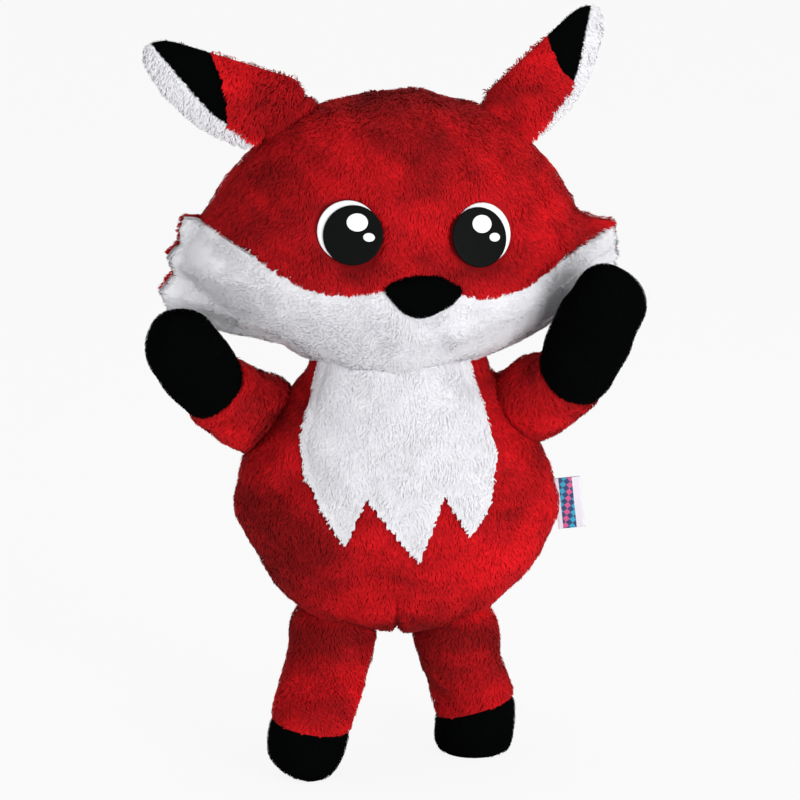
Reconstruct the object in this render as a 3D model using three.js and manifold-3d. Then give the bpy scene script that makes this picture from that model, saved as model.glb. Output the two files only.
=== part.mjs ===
// Plush fox: sewn covers over fibre fillings, standing with both arms raised.
// Millimetres, +Z up, the face looks along -Y, the origin is under the middle of the whole toy.
import * as THREE from "three";
import { mergeVertices } from "three/addons/utils/BufferGeometryUtils.js";
import Module from "manifold-3d";

const wasm = await Module();
wasm.setup();

const v3 = (x, y, z) => new THREE.Vector3(x, y, z);
const degrees = (value) => THREE.MathUtils.degToRad(value);

// Shared clearances
const seamGap = 0.3; // between pieces that touch
const fillingGap = 0.6; // between a filling and its cover
const coverWall = 4; // plush fabric with its pile
const overrun = 60; // how far a cutter runs past what it cuts
const soleCut = 0.5; // how deep the soles are pressed flat
const weldReach = 1e-4; // points nearer than this are one point

// Where the body's middle line stands in the frame
const standAcross = 3.7;
const standForward = 29;

// Torso
const torsoHalfWidth = 98;
const torsoFront = 60;
const torsoBack = 56;
const torsoBottomHeight = 87;
const torsoTopHeight = 258;
const torsoPower = 2.1;
const torsoShares = [
  // height, width, depth, and how far the row stands off the middle line
  [0, 0.2, 0.22, -0.037],
  [0.028, 0.41, 0.46, -0.037],
  [0.075, 0.59, 0.66, -0.037],
  [0.159, 0.735, 0.8, -0.036],
  [0.281, 0.895, 0.93, -0.022],
  [0.43, 1, 1, -0.02],
  [0.561, 0.95, 0.95, -0.02],
  [0.674, 0.83, 0.86, -0.015],
  [0.786, 0.7, 0.8, -0.01],
  [0.88, 0.62, 0.77, 0],
  [0.95, 0.56, 0.75, 0],
  [0.985, 0.52, 0.72, 0],
  [1, 0.46, 0.66, 0],
];
const torsoHeight = torsoTopHeight - torsoBottomHeight;

// Head
const headTurn = 11; // degrees, turned to its left
const headTilt = 3.5; // degrees, leaning to its left
const headHalfWidth = 132;
const headFront = 78;
const headBack = 68;
const headSink = 3; // the head's underside lies this far under the torso's rim
const headHeight = 169;
const cheekSetBack = 8; // the widest line lies behind the middle
const headPower = 1.85;
const headShares = [
  // height, width, depth
  [0, 0.27, 0.2],
  [0.03, 0.4, 0.42],
  [0.08, 0.55, 0.59],
  [0.15, 0.73, 0.75],
  [0.23, 0.87, 0.9],
  [0.34, 1, 0.98],
  [0.46, 0.95, 0.955],
  [0.56, 0.855, 0.89],
  [0.66, 0.78, 0.83],
  [0.77, 0.68, 0.745],
  [0.88, 0.53, 0.6],
  [0.96, 0.29, 0.37],
  [1, 0.1, 0.14],
];
const headBottomHeight = torsoTopHeight - headSink;
const headTopHeight = headBottomHeight + headHeight;

// Neck
const neckPivotRise = 26; // over the torso's top
const neckPivotHeight = torsoTopHeight + neckPivotRise;
const neckShift = 6; // the head sits a little to the right of the toy's middle line
const neckRadius = 48;
const neckBoreShare = 0.8; // the opening through which the filling shows
const nodTurns = [-8, -5, -2, 1, 4, 7]; // degrees, from looking up to looking down

// Face band: the seam between red and white
const seamShares = [
  // distance from the middle over the half width, height over the head's
  [0, 0.396],
  [0.167, 0.367],
  [0.326, 0.337],
  [0.455, 0.346],
  [0.553, 0.37],
  [0.652, 0.408],
  [0.742, 0.456],
  [0.833, 0.503],
  [0.917, 0.544],
];
const sideSeamSetBack = 8; // the side seam lies behind the middle
const tuftThickness = 3;
const tuftRootShare = 0.76; // the tufts start this far out, inside the head
const tuftShares = [
  // distance from the middle over the half width, height over the head's
  [1, 0.532],
  [0.992, 0.485],
  [1.053, 0.45],
  [1, 0.373],
  [1.076, 0.296],
  [1.015, 0.243],
  [1.03, 0.189],
];
const backingInset = 0.6; // the red backings stop this far inside the white tufts
const cheeks = {
  left: { side: -1, dropShare: 0.06, pullShare: 0.01, backingRiseShare: 0.01 },
  right: { side: 1, dropShare: 0.03, pullShare: 0, backingRiseShare: 0.04 },
};

// Nose
const noseHalfWidth = 24;
const noseHeight = 25;
const noseThickness = 13;
const noseHeightShare = 0.361; // of the head's height
const noseSunk = 4;
const noseAcross = 4.5;
const noseOutlineShares = [
  // half width, height
  [-1, 0.2],
  [-0.57, 0.46],
  [0, 0.52],
  [0.57, 0.46],
  [1, 0.2],
  [0.72, -0.14],
  [0.3, -0.44],
  [0, -0.52],
  [-0.3, -0.44],
  [-0.72, -0.14],
];
const padShares = [
  // thickness, outline
  [0, 0.9],
  [0.3, 1],
  [0.62, 0.92],
  [0.86, 0.66],
];

// Eyes
const eyeSpacingShare = 0.297; // of the head's half width
const eyeHeightShare = 0.556; // of the head's height
const eyeRadius = 18.6;
const eyeBackingRadius = 18.9;
const eyeBackingShift = 3.6;
const eyeBackingRise = 2.5;
const eyeSunk = 0.6;
const feltThickness = 1.2;
const glintThickness = 0.5;
const largeGlint = { halfWidth: 6.6, halfHeight: 5.6, across: 2, up: 8 };
const smallGlint = { halfWidth: 3.6, halfHeight: 2.7, across: 10, up: -0.6 };

// Ears
const earThickness = 9;
const earBead = 6; // radius of the rolled base seam
const earBaseHalf = 19;
const earBladeLift = 2.6; // the blade starts this far above the bead's centre
const earLiningShare = 0.42; // share of the thickness that the lining takes
const earShares = [
  // length, inner edge, outer edge, as shares of the length, and thickness
  [0, 0.19, -0.19, 0.7],
  [0.1, 0.23, -0.25, 0.9],
  [0.27, 0.205, -0.275, 1],
  [0.44, 0.18, -0.28, 1],
  [0.62, 0.15, -0.245, 0.95],
  [0.78, 0.125, -0.19, 0.85],
  [0.9, 0.1, -0.12, 0.7],
  [0.97, 0.06, -0.07, 0.5],
];
const earTipInnerShare = 1.48; // height of the black tip's seam, one length to either side
const earTipOuterShare = -0.43;
const earRimShares = [
  // length, edge of the white rim
  [-0.1, -0.235],
  [0.1, -0.225],
  [0.33, -0.195],
  [0.47, -0.17],
  [0.62, -0.115],
  [0.84, -0.025],
  [1.02, 0.05],
];
const earBaseBack = 5;
const earBaseHeightShare = 0.893; // of the head's height
const earBaseSlope = 40; // degrees that the base seam falls outward
const leftEarLength = 102;
const rightEarLength = 90.5;
const ears = {
  left: { side: -1, length: leftEarLength, rise: 25, acrossShare: 0.523 },
  right: { side: 1, length: rightEarLength, rise: 54.5, acrossShare: 0.5 },
};

// Arms: root as shares of the torso, cuff and tip as shares of the reach
const shoulderRadius = 24.5;
const cuffRadius = 22;
const mittRadius = 23.5;
const armReach = 80;
const boreShare = 0.7; // of the root ball, the opening through which the filling shows
const arms = {
  left: {
    rootShares: [-0.857, -0.2, 0.778],
    cuffShares: [-0.375, -0.2, 0.3125],
    tipShares: [-0.6125, -0.4875, 0.7],
  },
  right: {
    rootShares: [0.791, -0.2, 0.825],
    cuffShares: [0.344, -0.225, 0.3125],
    tipShares: [0.6125, -0.575, 0.9625],
  },
};

// Legs: hips and feet as shares of the torso's half width
const hipRadius = 26;
const hipDrop = 5; // the hips lie this far under the torso's bottom
const footSeamHeight = 28;
const footHalfWidth = 24.5;
const footHalfDepth = 27;
const legSwellShare = 0.67; // of the hip's height
const legSwellRadius = 24.5;
const soleShares = [
  // height over the seam height, width
  [0.004, 0.62],
  [0.1, 0.8],
  [0.3, 0.94],
  [0.62, 1],
];
const legs = {
  left: { hipShare: -0.4225, footShares: [-0.561, -0.337] },
  right: { hipShare: 0.357, footShares: [0.469, 0.245] },
};

// Tail
const tailStandOff = 8; // its root lies this far behind the torso's back
const tailHeightShare = 0.240; // of the torso's height
const tailRadius = 27;
const tailRootRadius = 17;
const tailLength = 104;
const tailRise = 38; // degrees above level
const tailCurl = 24; // how far the tip lifts above a straight tail
const tailTipShare = 0.66;
const tailShares = [
  // length, radius
  [0.2, 0.76],
  [0.4, 1],
  [0.62, 0.94],
  [0.84, 0.7],
  [1, 0.4],
];

// Bib
const bibThickness = 2.2;
const bibShares = [
  // distance from the middle over the torso's half width, height over the torso's
  [0.429, 1.023],
  [0.531, 0.865],
  [0.617, 0.690],
  [0.571, 0.520],
  [0.444, 0.409],
  [0.286, 0.567],
  [0.128, 0.310],
  [-0.204, 0.556],
  [-0.337, 0.380],
  [-0.480, 0.503],
  [-0.612, 0.637],
  [-0.622, 0.743],
  [-0.531, 0.906],
  [-0.459, 1.023],
];

// Side label
const labelHeight = 32;
const labelReach = 15.9;
const labelPly = 0.5;
const labelSlit = 0.5;
const labelBead = 1.6;
const labelHeightShare = 0.450; // of the torso's height
const labelEdgeShare = 0.98; // of the torso's half width, its right edge beside the label
const labelLean = 6; // degrees that its top leans towards the body
const labelSeat = 1.3; // the rolled edge stands this far outside that edge

// Facet counts
const roundFacets = 20;
const formFacets = 20;
const hollowFacets = 14;
const ballFacets = 16;
const ballRings = 8;
const limbFacets = 14;
const bendFacets = 4;

// Tools for solids

function solidOf(geometry) {
  const bare = geometry.clone();
  bare.deleteAttribute("normal");
  bare.deleteAttribute("uv");
  const merged = mergeVertices(bare, weldReach);
  return new wasm.Manifold(
    new wasm.Mesh({
      numProp: 3,
      vertProperties: merged.attributes.position.array,
      triVerts: new Uint32Array(merged.index.array),
    }),
  );
}

function geometryOf(solid) {
  const made = solid.getMesh();
  const stride = made.numProp;
  const points = new Float32Array(made.numVert * 3);
  for (let i = 0; i < made.numVert; i++) {
    points.set(made.vertProperties.subarray(i * stride, i * stride + 3), i * 3);
  }
  const geometry = new THREE.BufferGeometry();
  geometry.setAttribute("position", new THREE.BufferAttribute(points, 3));
  geometry.setIndex(new THREE.BufferAttribute(made.triVerts, 1));
  geometry.computeVertexNormals();
  return geometry;
}

// A closed skin over rings of points that share one count, with a point at each end.
function skinOver(rings, startPoint, endPoint) {
  const count = rings[0].length;
  const points = rings.flat().concat([startPoint, endPoint]);
  const faces = [];
  for (let r = 0; r < rings.length - 1; r++) {
    for (let i = 0; i < count; i++) {
      const a = r * count + i;
      const b = r * count + ((i + 1) % count);
      faces.push(a, b, b + count, a, b + count, a + count);
    }
  }
  const start = rings.length * count;
  const last = (rings.length - 1) * count;
  for (let i = 0; i < count; i++) {
    const next = (i + 1) % count;
    faces.push(start, next, i);
    faces.push(start + 1, last + i, last + next);
  }
  const geometry = new THREE.BufferGeometry().setFromPoints(points);
  geometry.setIndex(faces);
  return solidOf(geometry);
}

// A ring around a centre, along two directions, rounder or squarer by its power.
function ringAround({ centre, across, along, halfWidth, front, back, power = 2, count = formFacets }) {
  const ring = [];
  for (let i = 0; i < count; i++) {
    const turn = (i / count) * 2 * Math.PI;
    const c = Math.cos(turn);
    const s = Math.sin(turn);
    const a = Math.sign(c) * Math.abs(c) ** (2 / power) * halfWidth;
    const b = Math.sign(s) * Math.abs(s) ** (2 / power) * (s < 0 ? front : back);
    ring.push(centre.clone().addScaledVector(across, a).addScaledVector(along, b));
  }
  return ring;
}

function ballAt(centre, radius) {
  const ball = new THREE.SphereGeometry(radius, ballFacets, ballRings);
  ball.translate(centre.x, centre.y, centre.z);
  return solidOf(ball);
}

// A socket clears a faceted ball of the same radius at every turn.
const facetShare = Math.cos(Math.PI / ballFacets) * Math.cos(Math.PI / (2 * ballRings));

function socketAt(centre, radius) {
  return ballAt(centre, (radius + seamGap) / facetShare);
}

// A block between two corners.
function blockBetween(low, high) {
  const size = high.clone().sub(low);
  const block = new THREE.BoxGeometry(size.x, size.y, size.z);
  const middle = low.clone().add(high).divideScalar(2);
  block.translate(middle.x, middle.y, middle.z);
  return solidOf(block);
}

// An outline in the front view, run from one depth to another.
function frontPlate(points, yFrom, yTo) {
  const outline = new THREE.Shape(points.map(([x, z]) => new THREE.Vector2(x, z)));
  const plate = new THREE.ExtrudeGeometry(outline, { depth: yTo - yFrom, bevelEnabled: false });
  plate.rotateX(Math.PI / 2);
  plate.translate(0, yTo, 0);
  return solidOf(plate);
}

function placed(solid, matrix) {
  return solid.transform(matrix.elements);
}

// Materials
const cloth = (name, colour, roughness) =>
  new THREE.MeshStandardMaterial({ name, color: colour, roughness, metalness: 0 });
const redPlush = () => cloth("red_plush", 0xb3101a, 0.95);
const whitePlush = () => cloth("white_plush", 0xe9eaee, 0.95);
const blackPlush = () => cloth("black_short_plush", 0x0b0b0c, 0.9);
const fibreFill = () => cloth("fibre_filling", 0xf4f3ee, 1);
const eyeBlack = () => cloth("eye_black_felt", 0x111514, 0.5);
const eyeWhite = () => cloth("eye_white_felt", 0xf2f4f5, 0.6);
const labelSatin = () => cloth("label_satin", 0xf1f1f4, 0.4);

const fox = new THREE.Group();
const body = new THREE.Group();
body.position.set(standAcross, -standForward, 0);
fox.add(body);

// The head turns and tilts about its neck, and its pieces are drawn upright inside.
const neckPivot = v3(-neckShift, 0, neckPivotHeight);
const headTurner = new THREE.Group();
headTurner.position.copy(neckPivot);
headTurner.rotation.set(0, degrees(headTilt), degrees(headTurn), "ZYX");
const head = new THREE.Group();
head.position.set(0, 0, -neckPivotHeight);
headTurner.add(head);
body.add(headTurner);

function addPiece(group, name, solid, material) {
  const mesh = new THREE.Mesh(geometryOf(solid), material);
  mesh.name = name;
  group.add(mesh);
}

// A round soft form from rows of shares: bottom to top, with its own front and back depth.
function stackedForm({ bottom, top, halfWidth, front, back, rows, setBack = 0, power = 2, inset = 0 }) {
  const middle = (bottom + top) / 2;
  const heightShare = 1 - inset / (middle - bottom);
  const widthShare = 1 - inset / halfWidth;
  const depthShare = 1 - inset / Math.min(front, back);
  const count = inset < coverWall ? formFacets : hollowFacets;
  const pointAt = (height, shift) =>
    v3(shift * halfWidth, setBack, middle + (height - middle) * heightShare);
  const rings = rows.map(([h, w, d, shift = 0]) =>
    ringAround({
      centre: pointAt(bottom + h * (top - bottom), shift),
      across: v3(1, 0, 0),
      along: v3(0, 1, 0),
      halfWidth: halfWidth * w * widthShare,
      front: (front * d + setBack) * depthShare,
      back: (back * d - setBack) * depthShare,
      power,
      count,
    }),
  );
  const [, , , lowShift = 0] = rows[0];
  return skinOver(rings, pointAt(bottom, lowShift), pointAt(top, 0));
}

// Torso: cover, filling, bib
const torsoForm = (inset) =>
  stackedForm({
    bottom: torsoBottomHeight,
    top: torsoTopHeight,
    halfWidth: torsoHalfWidth,
    front: torsoFront,
    back: torsoBack,
    rows: torsoShares,
    power: torsoPower,
    inset,
  });

// A place on the torso, by shares of its half width, its front and its height
const torsoPlace = ([across, back, height]) =>
  v3(across * torsoHalfWidth, back * torsoFront, torsoBottomHeight + height * torsoHeight);
const hipHeight = torsoBottomHeight - hipDrop;
const hipAt = (leg) => v3(leg.hipShare * torsoHalfWidth, 0, hipHeight);
const tailRoot = v3(0, torsoBack + tailStandOff, torsoBottomHeight + tailHeightShare * torsoHeight);

const headForm = (inset) =>
  stackedForm({
    bottom: headBottomHeight,
    top: headTopHeight,
    halfWidth: headHalfWidth,
    front: headFront,
    back: headBack,
    rows: headShares,
    setBack: cheekSetBack,
    power: headPower,
    inset,
  });

// The torso's rim is cut clear of the head at every turn of its nod.
function noddedHead(turn) {
  const matrix = new THREE.Matrix4().makeTranslation(neckPivot);
  matrix.multiply(new THREE.Matrix4().makeRotationX(degrees(turn)));
  matrix.multiply(new THREE.Matrix4().makeRotationFromEuler(headTurner.rotation));
  matrix.multiply(new THREE.Matrix4().makeTranslation(0, 0, -neckPivotHeight));
  return placed(headForm(-seamGap), matrix);
}

const torsoSockets = [
  socketAt(neckPivot, neckRadius),
  ...nodTurns.map(noddedHead),
  ...Object.values(arms).map((arm) => socketAt(torsoPlace(arm.rootShares), shoulderRadius)),
  ...Object.values(legs).map((leg) => socketAt(hipAt(leg), hipRadius)),
  socketAt(tailRoot, tailRootRadius),
];
const cutSockets = (solid) => torsoSockets.reduce((left, socket) => left.subtract(socket), solid);

const torsoOuter = torsoForm(0);
const torsoCover = cutSockets(torsoOuter.subtract(torsoForm(coverWall)));
const torsoFilling = cutSockets(torsoForm(coverWall + fillingGap));
addPiece(body, "torso_cover", torsoCover, redPlush());
addPiece(body, "torso_filling", torsoFilling, fibreFill());

const bibOutline = bibShares.map(([x, z]) => [x * torsoHalfWidth, torsoBottomHeight + z * torsoHeight]);
const bibPlate = frontPlate(bibOutline, -torsoFront - overrun, 0);
const bibLayer = torsoForm(-bibThickness - seamGap).subtract(torsoForm(-seamGap));
addPiece(body, "bib", cutSockets(bibLayer.intersect(bibPlate)), whitePlush());

// Face band and cheek tufts
const bandFloor = headBottomHeight - overrun;
const bandEdge = headHalfWidth + overrun;
const onHead = ([x, z]) => [x * headHalfWidth, headBottomHeight + z * headHeight];

// Everything in front of the side seam and below the face seam.
function bandRegion(lift) {
  const seam = seamShares.map(onHead).map(([x, z]) => [x, z + lift]);
  const topAtEdge = seam[seam.length - 1][1];
  const outline = [
    [-bandEdge, bandFloor],
    [bandEdge, bandFloor],
    [bandEdge, topAtEdge],
    ...[...seam].reverse(),
    ...seam.slice(1).map(([x, z]) => [-x, z]),
    [-bandEdge, topAtEdge],
  ];
  return frontPlate(outline, -headFront - overrun, sideSeamSetBack + lift);
}

function tuftPlate({ side, dropShare, pullShare }, from, to, inset) {
  const tips = tuftShares.map(([x, z]) => onHead([x - pullShare, z - dropShare]));
  const rootAcross = tuftRootShare * headHalfWidth;
  const outline = [
    [rootAcross, tips[0][1]],
    ...tips.map(([x, z]) => [x - inset, z]),
    [rootAcross, tips[tips.length - 1][1]],
  ];
  return frontPlate(outline.map(([x, z]) => [x * side, z]), from, to);
}

const headOuter = headForm(0);
const headHollow = headForm(coverWall);
const headPivot = v3(0, 0, neckPivotHeight);
const neckBall = ballAt(headPivot, neckRadius);
const neckLow = blockBetween(
  v3(-neckRadius, -neckRadius, neckPivotHeight - neckRadius),
  v3(neckRadius, neckRadius, neckPivotHeight),
);

// The face is nearly flat around each eye and the nose, and these find its place and slope.
function faceDepthAt(x, z) {
  const share = (z - headBottomHeight) / (headTopHeight - headBottomHeight);
  const upper = headShares.findIndex(([h]) => h >= share);
  const [h0, w0, d0] = headShares[upper - 1];
  const [h1, w1, d1] = headShares[upper];
  const t = (share - h0) / (h1 - h0);
  const width = headHalfWidth * (w0 + (w1 - w0) * t);
  const depth = headFront * (d0 + (d1 - d0) * t) + cheekSetBack;
  const across = Math.min(Math.abs(x) / width, 1);
  return cheekSetBack - depth * (1 - across ** headPower) ** (1 / headPower);
}

function faceFrame(x, z, step) {
  const across = v3(2 * step, faceDepthAt(x + step, z) - faceDepthAt(x - step, z), 0).normalize();
  const rise = v3(0, faceDepthAt(x, z + step) - faceDepthAt(x, z - step), 2 * step);
  const inward = rise.clone().cross(across).normalize();
  const up = across.clone().cross(inward).normalize();
  return new THREE.Matrix4().makeBasis(across, inward, up).setPosition(x, faceDepthAt(x, z), z);
}

function discOn(frame, { across, up, depth, halfWidth, halfHeight, thickness }) {
  const disc = new THREE.CylinderGeometry(1, 1, thickness, roundFacets);
  disc.scale(halfWidth, 1, halfHeight);
  disc.translate(across, depth - thickness / 2, up);
  disc.applyMatrix4(frame);
  return solidOf(disc);
}

// Eyes: felt discs stacked in a shallow pocket
const eyePockets = [];
for (const [name, { side }] of Object.entries(cheeks)) {
  const [eyeAcross, eyeHeight] = onHead([eyeSpacingShare, eyeHeightShare]);
  const frame = faceFrame(side * eyeAcross, eyeHeight, eyeRadius / 2);
  const backing = { across: side * eyeBackingShift, up: eyeBackingRise };
  const discDepth = eyeSunk - feltThickness - seamGap;
  const glintDepth = discDepth - feltThickness - seamGap;
  eyePockets.push(
    discOn(frame, {
      ...backing,
      depth: eyeSunk + seamGap,
      halfWidth: eyeBackingRadius + seamGap,
      halfHeight: eyeBackingRadius + seamGap,
      thickness: overrun,
    }),
    discOn(frame, {
      across: 0,
      up: 0,
      depth: discDepth + seamGap,
      halfWidth: eyeRadius + seamGap,
      halfHeight: eyeRadius + seamGap,
      thickness: overrun,
    }),
  );
  const backingDisc = discOn(frame, {
    ...backing,
    depth: eyeSunk,
    halfWidth: eyeBackingRadius,
    halfHeight: eyeBackingRadius,
    thickness: feltThickness,
  });
  const blackDisc = discOn(frame, {
    across: 0,
    up: 0,
    depth: discDepth,
    halfWidth: eyeRadius,
    halfHeight: eyeRadius,
    thickness: feltThickness,
  });
  addPiece(head, `eye_backing_${name}`, backingDisc, eyeWhite());
  addPiece(head, `eye_disc_${name}`, blackDisc, eyeBlack());
  for (const [size, glint] of Object.entries({ large: largeGlint, small: smallGlint })) {
    const dot = discOn(frame, { ...glint, depth: glintDepth, thickness: glintThickness });
    addPiece(head, `eye_${size}_highlight_${name}`, dot, eyeWhite());
  }
}

// Nose: a padded rounded triangle, seated in a hollow of the face
function noseForm(grow) {
  const outline = new THREE.CatmullRomCurve3(
    noseOutlineShares.map(([x, z]) => v3(x * (noseHalfWidth + grow), 0, z * (noseHeight + 2 * grow))),
    true,
    "centripetal",
  ).getSpacedPoints(roundFacets);
  outline.pop();
  outline.reverse();
  const back = noseSunk + grow;
  const thickness = noseThickness + 2 * grow;
  const rings = padShares.map(([t, scale]) =>
    outline.map((p) => v3(p.x * scale, back - t * thickness, p.z * scale)),
  );
  return skinOver(rings, v3(0, back, 0), v3(0, back - thickness, 0));
}
const noseCentreHeight = headBottomHeight + noseHeightShare * headHeight;
const noseFrame = faceFrame(noseAcross, noseCentreHeight, noseHeight / 2);
addPiece(head, "nose", placed(noseForm(0), noseFrame), blackPlush());
const nosePocket = placed(noseForm(seamGap), noseFrame);

// Ears: a folded panel with a black tip, and a white lining that shows as a rim
function earForm(length) {
  const rings = earShares.map(([s, inner, outer, thick]) =>
    ringAround({
      centre: v3(((inner + outer) / 2) * length, 0, s * length),
      across: v3(1, 0, 0),
      along: v3(0, 1, 0),
      halfWidth: ((inner - outer) / 2) * length,
      front: (earThickness * thick) / 2,
      back: (earThickness * thick) / 2,
      count: limbFacets,
    }),
  );
  return skinOver(rings, v3(0, 0, 0), v3(0, 0, length));
}

function earLiningRegion(side, length, lift) {
  const rim = earRimShares.map(([s, x]) => [x * length + lift, s * length]);
  const rimLow = rim[0][1];
  const rimHigh = rim[rim.length - 1][1];
  const rimOutline = [...rim, [-length, rimHigh], [-length, rimLow]];
  const rimPlate = frontPlate(rimOutline, -earThickness, earThickness);
  const split = earThickness / 2 - earLiningShare * earThickness - lift;
  const backFrom = side < 0 ? split : -earThickness;
  const backTo = side < 0 ? earThickness : -split;
  return rimPlate.add(blockBetween(v3(-length, backFrom, -length), v3(length, backTo, 2 * length)));
}

function earTipRegion(length, lift) {
  const outline = [
    [length, earTipInnerShare * length + lift],
    [length, 2 * length],
    [-length, 2 * length],
    [-length, earTipOuterShare * length + lift],
  ];
  return frontPlate(outline, -earThickness, earThickness);
}

const beadGrown = [];
for (const [name, { side, length, rise, acrossShare }] of Object.entries(ears)) {
  const lengthwise = v3(side * Math.cos(degrees(rise)), 0, Math.sin(degrees(rise)));
  const inner = v3(-side * Math.sin(degrees(rise)), 0, Math.cos(degrees(rise)));
  const through = lengthwise.clone().cross(inner);
  const [baseAcross, baseHeight] = onHead([acrossShare, earBaseHeightShare]);
  const base = v3(side * baseAcross, earBaseBack, baseHeight);
  const frame = new THREE.Matrix4().makeBasis(inner, through, lengthwise).setPosition(base);
  const seam = v3(side * Math.cos(degrees(earBaseSlope)), 0, -Math.sin(degrees(earBaseSlope)));
  const seamTurn = new THREE.Quaternion().setFromUnitVectors(v3(0, 1, 0), seam);
  const beadOf = (grow) => {
    const straight = 2 * (earBaseHalf - earBead);
    const bead = new THREE.CapsuleGeometry(earBead + grow, straight, bendFacets, limbFacets);
    bead.applyQuaternion(seamTurn);
    bead.translate(base.x, base.y, base.z);
    return solidOf(bead);
  };
  const clearance = (earBead + seamGap) / Math.cos(Math.PI / limbFacets) ** 2 - earBead;
  beadGrown.push(beadOf(clearance));
  const below = new THREE.BoxGeometry(2 * overrun, 2 * overrun, overrun);
  below.translate(0, 0, earBladeLift - overrun / 2);
  below.rotateY(side * degrees(earBaseSlope));
  below.translate(base.x, base.y, base.z);
  const blade = placed(earForm(length), frame).subtract(solidOf(below));
  const liningRegion = placed(earLiningRegion(side, length, 0), frame);
  const lining = blade.intersect(liningRegion).subtract(beadOf(seamGap));
  const front = blade.subtract(placed(earLiningRegion(side, length, seamGap), frame));
  const panel = front.subtract(placed(earTipRegion(length, -seamGap), frame)).add(beadOf(0));
  addPiece(head, `ear_lining_${name}`, lining, whitePlush());
  addPiece(head, `ear_tip_${name}`, front.intersect(placed(earTipRegion(length, 0), frame)), blackPlush());
  addPiece(head, `ear_panel_${name}`, panel, redPlush());
}

// Head cover, face band, cheek backings and filling
const tuftFrom = sideSeamSetBack - tuftThickness;
const tuftTo = sideSeamSetBack;
const backingFrom = tuftTo + seamGap;
const backingTo = backingFrom + tuftThickness;
const headShell = headOuter
  .subtract(headHollow)
  .add(neckBall.subtract(headHollow))
  .subtract(ballAt(headPivot, neckRadius * neckBoreShare));
const facePockets = [nosePocket, ...eyePockets, ...beadGrown];
const cutFace = (solid) => facePockets.reduce((left, pocket) => left.subtract(pocket), solid);
const neckRing = (grow) =>
  blockBetween(
    v3(-neckRadius, -neckRadius, headBottomHeight - neckRadius).addScalar(-grow),
    v3(neckRadius, neckRadius, headBottomHeight + coverWall).addScalar(grow),
  );
const aboveBand = headForm(-seamGap).subtract(bandRegion(0));
const bandTufts = Object.values(cheeks).map((cheek) =>
  tuftPlate(cheek, tuftFrom, tuftTo, 0).subtract(headHollow).subtract(aboveBand),
);
const bandSolid = bandTufts
  .reduce((left, tuft) => left.add(tuft), headShell.intersect(bandRegion(0)))
  .subtract(neckRing(seamGap))
  .subtract(neckBall);
const bandGrown = bandRegion(seamGap).subtract(neckRing(0));
addPiece(head, "face_band", cutFace(bandSolid), whitePlush());
for (const [name, cheek] of Object.entries(cheeks)) {
  const raised = { ...cheek, dropShare: cheek.dropShare - cheek.backingRiseShare };
  const backing = tuftPlate(raised, backingFrom, backingTo, backingInset).subtract(headForm(-seamGap));
  addPiece(head, `cheek_backing_${name}`, backing, redPlush());
}
addPiece(head, "head_cover", cutFace(headShell.subtract(bandGrown)), redPlush());
const headFilling = headForm(coverWall + fillingGap).add(
  ballAt(headPivot, neckRadius * neckBoreShare - fillingGap).intersect(neckLow),
);
const cutBeads = (solid) => beadGrown.reduce((left, bead) => left.subtract(bead), solid);
addPiece(head, "head_filling", cutBeads(headFilling), fibreFill());

// Limbs: a round root in a socket, a swelling sleeve and a rounded end.
// A hollow limb form runs out behind the root, so that its cover is open there.
const capTurns = [30, 60];

function limbRing(side, centre, tangent, radius) {
  const across = side.clone().cross(tangent).normalize();
  return ringAround({
    centre,
    across,
    along: tangent.clone().cross(across),
    halfWidth: radius,
    front: radius,
    back: radius,
    count: limbFacets,
  });
}

function limbAlong(curve, side, rootRadius, profile, inset) {
  const rootAt = curve.getPointAt(0);
  const rootTangent = curve.getTangentAt(0);
  const behind = (distance) => rootAt.clone().addScaledVector(rootTangent, -distance);
  const rings = [];
  let start = behind(rootRadius);
  if (inset > 0) {
    const boreRadius = rootRadius * boreShare - (inset - coverWall);
    start = behind(2 * rootRadius);
    rings.push(limbRing(side, start, rootTangent, boreRadius));
    rings.push(limbRing(side, behind(rootRadius / 2), rootTangent, boreRadius));
  } else {
    for (const turn of [...capTurns].reverse()) {
      const at = behind(rootRadius * Math.sin(degrees(turn)));
      rings.push(limbRing(side, at, rootTangent, rootRadius * Math.cos(degrees(turn))));
    }
  }
  rings.push(limbRing(side, rootAt, rootTangent, rootRadius - inset));
  for (const [share, radius] of profile) {
    rings.push(limbRing(side, curve.getPointAt(share), curve.getTangentAt(share), radius - inset));
  }
  const end = curve.getPointAt(1);
  const endTangent = curve.getTangentAt(1);
  const endRadius = profile[profile.length - 1][1] - inset;
  const ahead = (distance) => end.clone().addScaledVector(endTangent, distance);
  for (const turn of capTurns) {
    const at = ahead(endRadius * Math.sin(degrees(turn)));
    rings.push(limbRing(side, at, endTangent, endRadius * Math.cos(degrees(turn))));
  }
  return skinOver(rings, start, ahead(endRadius));
}

// The half space beyond a point on the limb, as a block.
function beyond(curve, share, shift) {
  const block = new THREE.BoxGeometry(2 * overrun, 2 * overrun, 2 * overrun);
  block.translate(0, 0, overrun + shift);
  block.applyQuaternion(new THREE.Quaternion().setFromUnitVectors(v3(0, 0, 1), curve.getTangentAt(share)));
  const at = curve.getPointAt(share);
  block.translate(at.x, at.y, at.z);
  return solidOf(block);
}

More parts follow.
